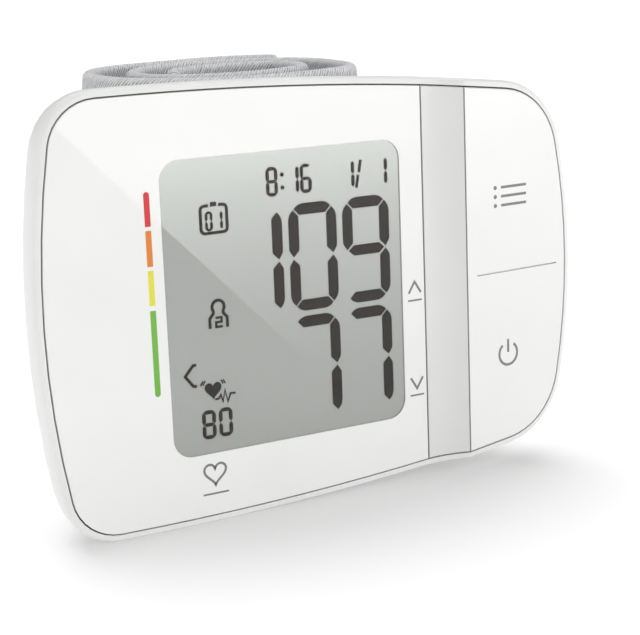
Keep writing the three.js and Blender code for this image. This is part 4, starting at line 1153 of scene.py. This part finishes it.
def hook_strip():
    """The hook tape on the inside of the free end."""
    near = CUFF_THICKNESS / 2 + HOOK_SEAT
    form = flat_band(
        HOOK_LENGTH, (near, near + HOOK_THICKNESS), HOOK_HEIGHT, HOOK_EDGE, HOOK_ROWS, HOOK_COLUMNS
    )
    unroll_map(form, HOOK_EDGE, HOOK_THICKNESS / 2, CUFF_WIDTH - HOOK_MARGIN)
    roll_up(form)
    piece("hook_tape", form, [hook_rows()], "case", "hook_strip", smooth=True)


STITCH_PITCH = 2.6
STITCH_LENGTH = 1.9
STITCH_WIDTH = 0.42
STITCH_HEIGHT = 0.4
STITCH_DEPTH = 1.2
STITCH_ROUNDING = 0.4 * STITCH_WIDTH


def sewing_thread():
    """Twisted polyester thread: slightly shiny, darker and lighter in small spots at random."""
    finish, tree = new_finish("polyester_thread")
    _, colour = mottle(tree, "8D8F93", "C4C5C8", size=0.3, detail=2)
    shade(tree, {"Base Color": colour}, Roughness=0.55, Sheen_Weight=0.2, IOR=1.5)
    return finish


def hook_seam():
    """Stitches on the outside of the free end, along the outline of the hook tape."""
    form = bmesh.new()
    around = ((0, 0), (1, 0), (1, 1), (0, 1))
    corners = [Vector((SEAM_LENGTH[end], SEAM_HEIGHT[top])) for end, top in around]
    for one, two in zip(corners, corners[1:] + corners[:1]):
        run = two - one
        count = round(run.length / STITCH_PITCH)
        size = [STITCH_WIDTH, STITCH_HEIGHT, STITCH_WIDTH]
        size[0 if abs(run.x) > abs(run.y) else 2] = STITCH_LENGTH
        for step in range(count):
            spot = one + run * (step + 0.5) / count
            stitch = bmesh.ops.create_cube(form, size=1)["verts"]
            bmesh.ops.scale(form, vec=size, verts=stitch)
            bmesh.ops.translate(form, vec=(spot.x, -STITCH_DEPTH, spot.y), verts=stitch)
    round_off(form, form.edges[:], STITCH_ROUNDING, 2)
    roll_up(form)
    piece("hook_seam", form, [sewing_thread()], "case", smooth=True)


cuff_band()
hook_strip()
hook_seam()

# Stage: a white floor that runs out of sight, a soft room, and one bright card that only reflections see
FLOOR_HALF_M = 6.0
FLOOR_RETURN = 0.92
FLOOR_EVEN_SHARE = 0.5


def floor_finish():
    """Matt white paint that shows the shadow; half of the light that it returns to the object is even."""
    finish, tree = new_finish("white_studio_floor")
    paint = add_node(tree, "ShaderNodeBsdfDiffuse", {"Color": linear("F6F6F6")})
    path = add_node(tree, "ShaderNodeLightPath")
    shown = (path, "Is Camera Ray")
    for ray in ("Is Glossy Ray", "Is Transmission Ray"):
        either = add_node(tree, "ShaderNodeMath", links={0: shown, 1: (path, ray)}, operation="MAXIMUM")
        shown = (either, "Value")
    even = add_node(tree, "ShaderNodeEmission", {"Color": (1, 1, 1, 1), "Strength": FLOOR_RETURN})
    bounce = add_node(
        tree, "ShaderNodeMixShader", {0: FLOOR_EVEN_SHARE}, {1: (even, "Emission"), 2: (paint, "BSDF")}
    )
    choice = add_node(
        tree, "ShaderNodeMixShader", links={0: shown, 1: (bounce, "Shader"), 2: (paint, "BSDF")}
    )
    add_node(tree, "ShaderNodeOutputMaterial", links={"Surface": (choice, "Shader")})
    return finish


def flat_stage(name, corners, finish):
    """A flat sheet of the stage from its corners, in metres."""
    form = bmesh.new()
    form.faces.new([form.verts.new(corner) for corner in corners])
    mesh = bpy.data.meshes.new(name)
    form.to_mesh(mesh)
    form.free()
    mesh.materials.append(finish)
    made = bpy.data.objects.new(name, mesh)
    scene.collection.objects.link(made)
    return made


floor_corners = [(x * FLOOR_HALF_M, y * FLOOR_HALF_M, 0) for x, y in ((-1, -1), (1, -1), (1, 1), (-1, 1))]
floor = flat_stage("floor", floor_corners, floor_finish())

CARD_NEAR, CARD_FAR = 50.0, 420.0
CARD_END = 2000.0
CARD_FAINT, CARD_BRIGHT = 1.1, 3.2
CARD_START_X = 17.6
CARD_LEAN = 0.271
CARD_HEIGHT_M = 0.0006


def card_light():
    """The card's own light, faint near the object and bright far off."""
    finish, tree = new_finish("lit_card")
    place = add_node(tree, "ShaderNodeTexCoord")
    split = add_node(tree, "ShaderNodeSeparateXYZ", links={"Vector": (place, "Object")})
    level = add_node(
        tree,
        "ShaderNodeMapRange",
        {
            "From Min": FACE_Y - CARD_NEAR * MM,
            "From Max": FACE_Y - CARD_FAR * MM,
            "To Min": CARD_FAINT,
            "To Max": CARD_BRIGHT,
        },
        {"Value": (split, "Y")},
    )
    glow = add_node(tree, "ShaderNodeEmission", {"Color": (1, 1, 1, 1)}, {"Strength": (level, "Result")})
    add_node(tree, "ShaderNodeOutputMaterial", links={"Surface": (glow, "Emission")})
    return finish


def reflection_card():
    """A lit white card on the floor to the right: the bright half of the mirror image in the front."""
    edge = [(CARD_START_X + CARD_LEAN * away, -away) for away in (CARD_NEAR, CARD_END)]
    outline = [*edge, (CARD_END, -CARD_END), (CARD_END, -CARD_NEAR)]
    spots = [front(x, depth, 0) for x, depth in outline]
    card = flat_stage("reflection_card", [(spot.x, spot.y, CARD_HEIGHT_M) for spot in spots], card_light())
    for ray in ("camera", "diffuse", "shadow", "transmission", "volume_scatter"):
        setattr(card, "visible_" + ray, False)


reflection_card()

ROOM_LEVEL = 0.22
ROOM_LEFT = 1.2


def soft_room():
    """A dim white room, brighter on the left; white where it is seen directly."""
    room = bpy.data.worlds.new("soft_room")
    scene.world = room
    tree = empty_tree(room)
    place = add_node(tree, "ShaderNodeTexCoord")
    split = add_node(tree, "ShaderNodeSeparateXYZ", links={"Vector": (place, "Generated")})
    left = add_node(tree, "ShaderNodeMath", {1: 0.0}, {0: (split, "X")}, operation="MINIMUM")
    square = add_node(
        tree, "ShaderNodeMath", links={0: (left, "Value"), 1: (left, "Value")}, operation="MULTIPLY"
    )
    gain = {1: ROOM_LEFT, 2: ROOM_LEVEL}
    level = add_node(tree, "ShaderNodeMath", gain, {0: (square, "Value")}, operation="MULTIPLY_ADD")
    light = add_node(tree, "ShaderNodeBackground", {"Color": (1, 1, 1, 1)}, {"Strength": (level, "Value")})
    white = add_node(tree, "ShaderNodeBackground", {"Color": (1, 1, 1, 1), "Strength": 1.0})
    path = add_node(tree, "ShaderNodeLightPath")
    choice = add_node(
        tree,
        "ShaderNodeMixShader",
        links={0: (path, "Is Camera Ray"), 1: (light, "Background"), 2: (white, "Background")},
    )
    add_node(tree, "ShaderNodeOutputWorld", links={"Surface": (choice, "Shader")})


soft_room()


def wide_lamp(name, towards, strength, spread):
    """A far, wide lamp that shines from a direction given from the object; its spread is in degrees."""
    lamp = bpy.data.lights.new(name, "SUN")
    lamp.energy = strength
    lamp.angle = math.radians(spread)
    made = bpy.data.objects.new(name, lamp)
    made.rotation_euler = Vector(towards).to_track_quat("Z", "Y").to_euler()
    scene.collection.objects.link(made)
    return made


# One lamp above and behind throws the shadow to the front, and one in front on the right fills the plates;
# a third shines like the first but on the floor alone: the shadow shows, and pale shells keep their tones
BEHIND = (0.07, 0.41, 0.9)
IN_FRONT = (0.7, -0.68, 0.2)
wide_lamp("lamp_behind", BEHIND, strength=1.15, spread=60)
wide_lamp("lamp_in_front", IN_FRONT, strength=2.12, spread=80)
floor_only = bpy.data.collections.new("floor_only")
floor_only.objects.link(floor)
floor_lamp = wide_lamp("lamp_on_floor", BEHIND, strength=1.32, spread=60)
floor_lamp.light_linking.receiver_collection = floor_only

scene.view_settings.view_transform = "Standard"
